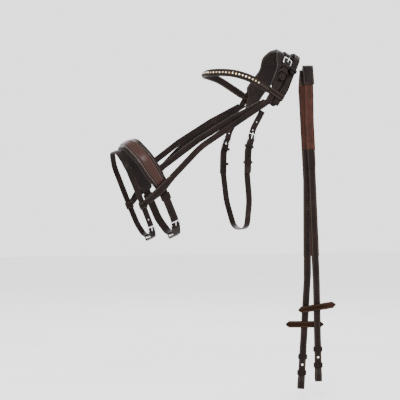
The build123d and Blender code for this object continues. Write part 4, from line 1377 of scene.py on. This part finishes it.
def leg(route, out, turned):
    """Stations down a far leg, which turns from facing outwards to facing along the bottom loop."""
    stations = []
    for n in range(13):
        share = n / 12
        z = hand_grip_end + (hand_bottom - hand_grip_end) * share
        ease = share * share * (3 - 2 * share)
        spot = face_dir * width_at(route, z) + across_dir * out + Vector((0, 0, z))
        stations.append((spot, across_dir * (1 - ease) + turned * ease))
    return stations


foot_a, foot_b = leg(far_a, out_a, across_dir)[-1][0], leg(far_b, out_b, across_dir)[-1][0]
loop_middle, arm = (foot_a + foot_b) / 2, (foot_a - foot_b) / 2
arm_dir = arm.normalized()
far_line = leg(far_a, out_a, arm_dir)
for n in range(1, 20):
    way = arm_dir * cos(radians(9 * n)) - Vector((0, 0, sin(radians(9 * n))))
    far_line.append((loop_middle + way * arm.length, way))
far_line += [(p, -out) for p, out in reversed(leg(far_b, out_b, arm_dir))]
loop_strips = [(far_line, rein_strap)]
strip_piece("far_leather_loop", "far_reins", strap_leather, ("hand_loop",), loop_strips)

# %% [markdown]
# ## Metal
# The buckle frames, tongues and studs keep their CAD shape, which is right as it is. Each gets the
# polished steel in every slot of its own object.

# %% Metal finish
metal_names = [
    "front_buckle_frame", "front_buckle_tongue", "rear_buckle_frame", "rear_buckle_tongue", "chin_buckle_frame",
    "chin_buckle_tongue", "jaw_buckle_frame", "jaw_buckle_tongue", "throat_buckle_frames", "near_throat_tongue",
    "off_throat_tongue", "outer_hook_stud", "inner_hook_stud",
]
done = 0
for obj in bpy.data.objects:
    if obj.type == "MESH" and obj.name in metal_names:
        if not obj.data.materials:
            obj.data.materials.append(metal)
        for place in obj.material_slots:
            place.material = metal
        done += 1
print("metal pieces finished:", done, "of", len(metal_names))

# %% [markdown]
# ## Floor and light
# A pale floor lies under the reins. A large soft lamp stands over the near side, a second one fills
# from the front, and a narrow one from behind draws a highlight along the edges of dark leather.


# %% Floor and lights
def lamp(name, kind, place, aim, size, power):
    data = bpy.data.lights.new(name, kind)
    data.energy, data.size = power, size
    light = bpy.data.objects.new(name, data)
    light.location = place
    light.rotation_euler = (Vector(aim) - Vector(place)).to_track_quat("-Z", "Y").to_euler()
    bpy.context.scene.collection.objects.link(light)


middle = (-0.18, 0.0, -0.33)
lamp("key", "AREA", (-1.1, -2.2, 1.3), middle, 1.2, 70)
lamp("fill", "AREA", (-2.6, -0.4, 0.1), middle, 1.2, 25)
lamp("side", "AREA", (1.9, -1.9, 0.3), middle, 0.8, 25)
lamp("rim", "AREA", (0.6, 2.2, 1.5), middle, 1.2, 30)
world = bpy.data.worlds.new("studio")
world.use_nodes = True
world.node_tree.nodes["Background"].inputs["Color"].default_value = (1, 1, 1, 1)
world.node_tree.nodes["Background"].inputs["Strength"].default_value = 2.2
bpy.context.scene.world = world
floor_finish, floor_shader, floor_place = new_material("pale_floor", roughness=0.9)
floor_tone = noise(floor_place, 3.0)
floor_stops = [(0.3, (0.86, 0.86, 0.86, 1)), (0.7, (0.9, 0.9, 0.9, 1))]
floor_colour = floor_place.node("ShaderNodeValToRGB", {"stops": floor_stops}, Fac=floor_tone)
feed(floor_shader, "Base Color", floor_colour)
bm = bmesh.new()
bmesh.ops.create_grid(bm, x_segments=1, y_segments=1, size=8.0, matrix=Matrix.Translation((0, 0, -0.765)))
floor_mesh = bpy.data.meshes.new("floor")
bm.to_mesh(floor_mesh)
bm.free()
floor = bpy.data.objects.new("floor", floor_mesh)
floor_mesh.materials.append(floor_finish)
bpy.context.scene.collection.objects.link(floor)
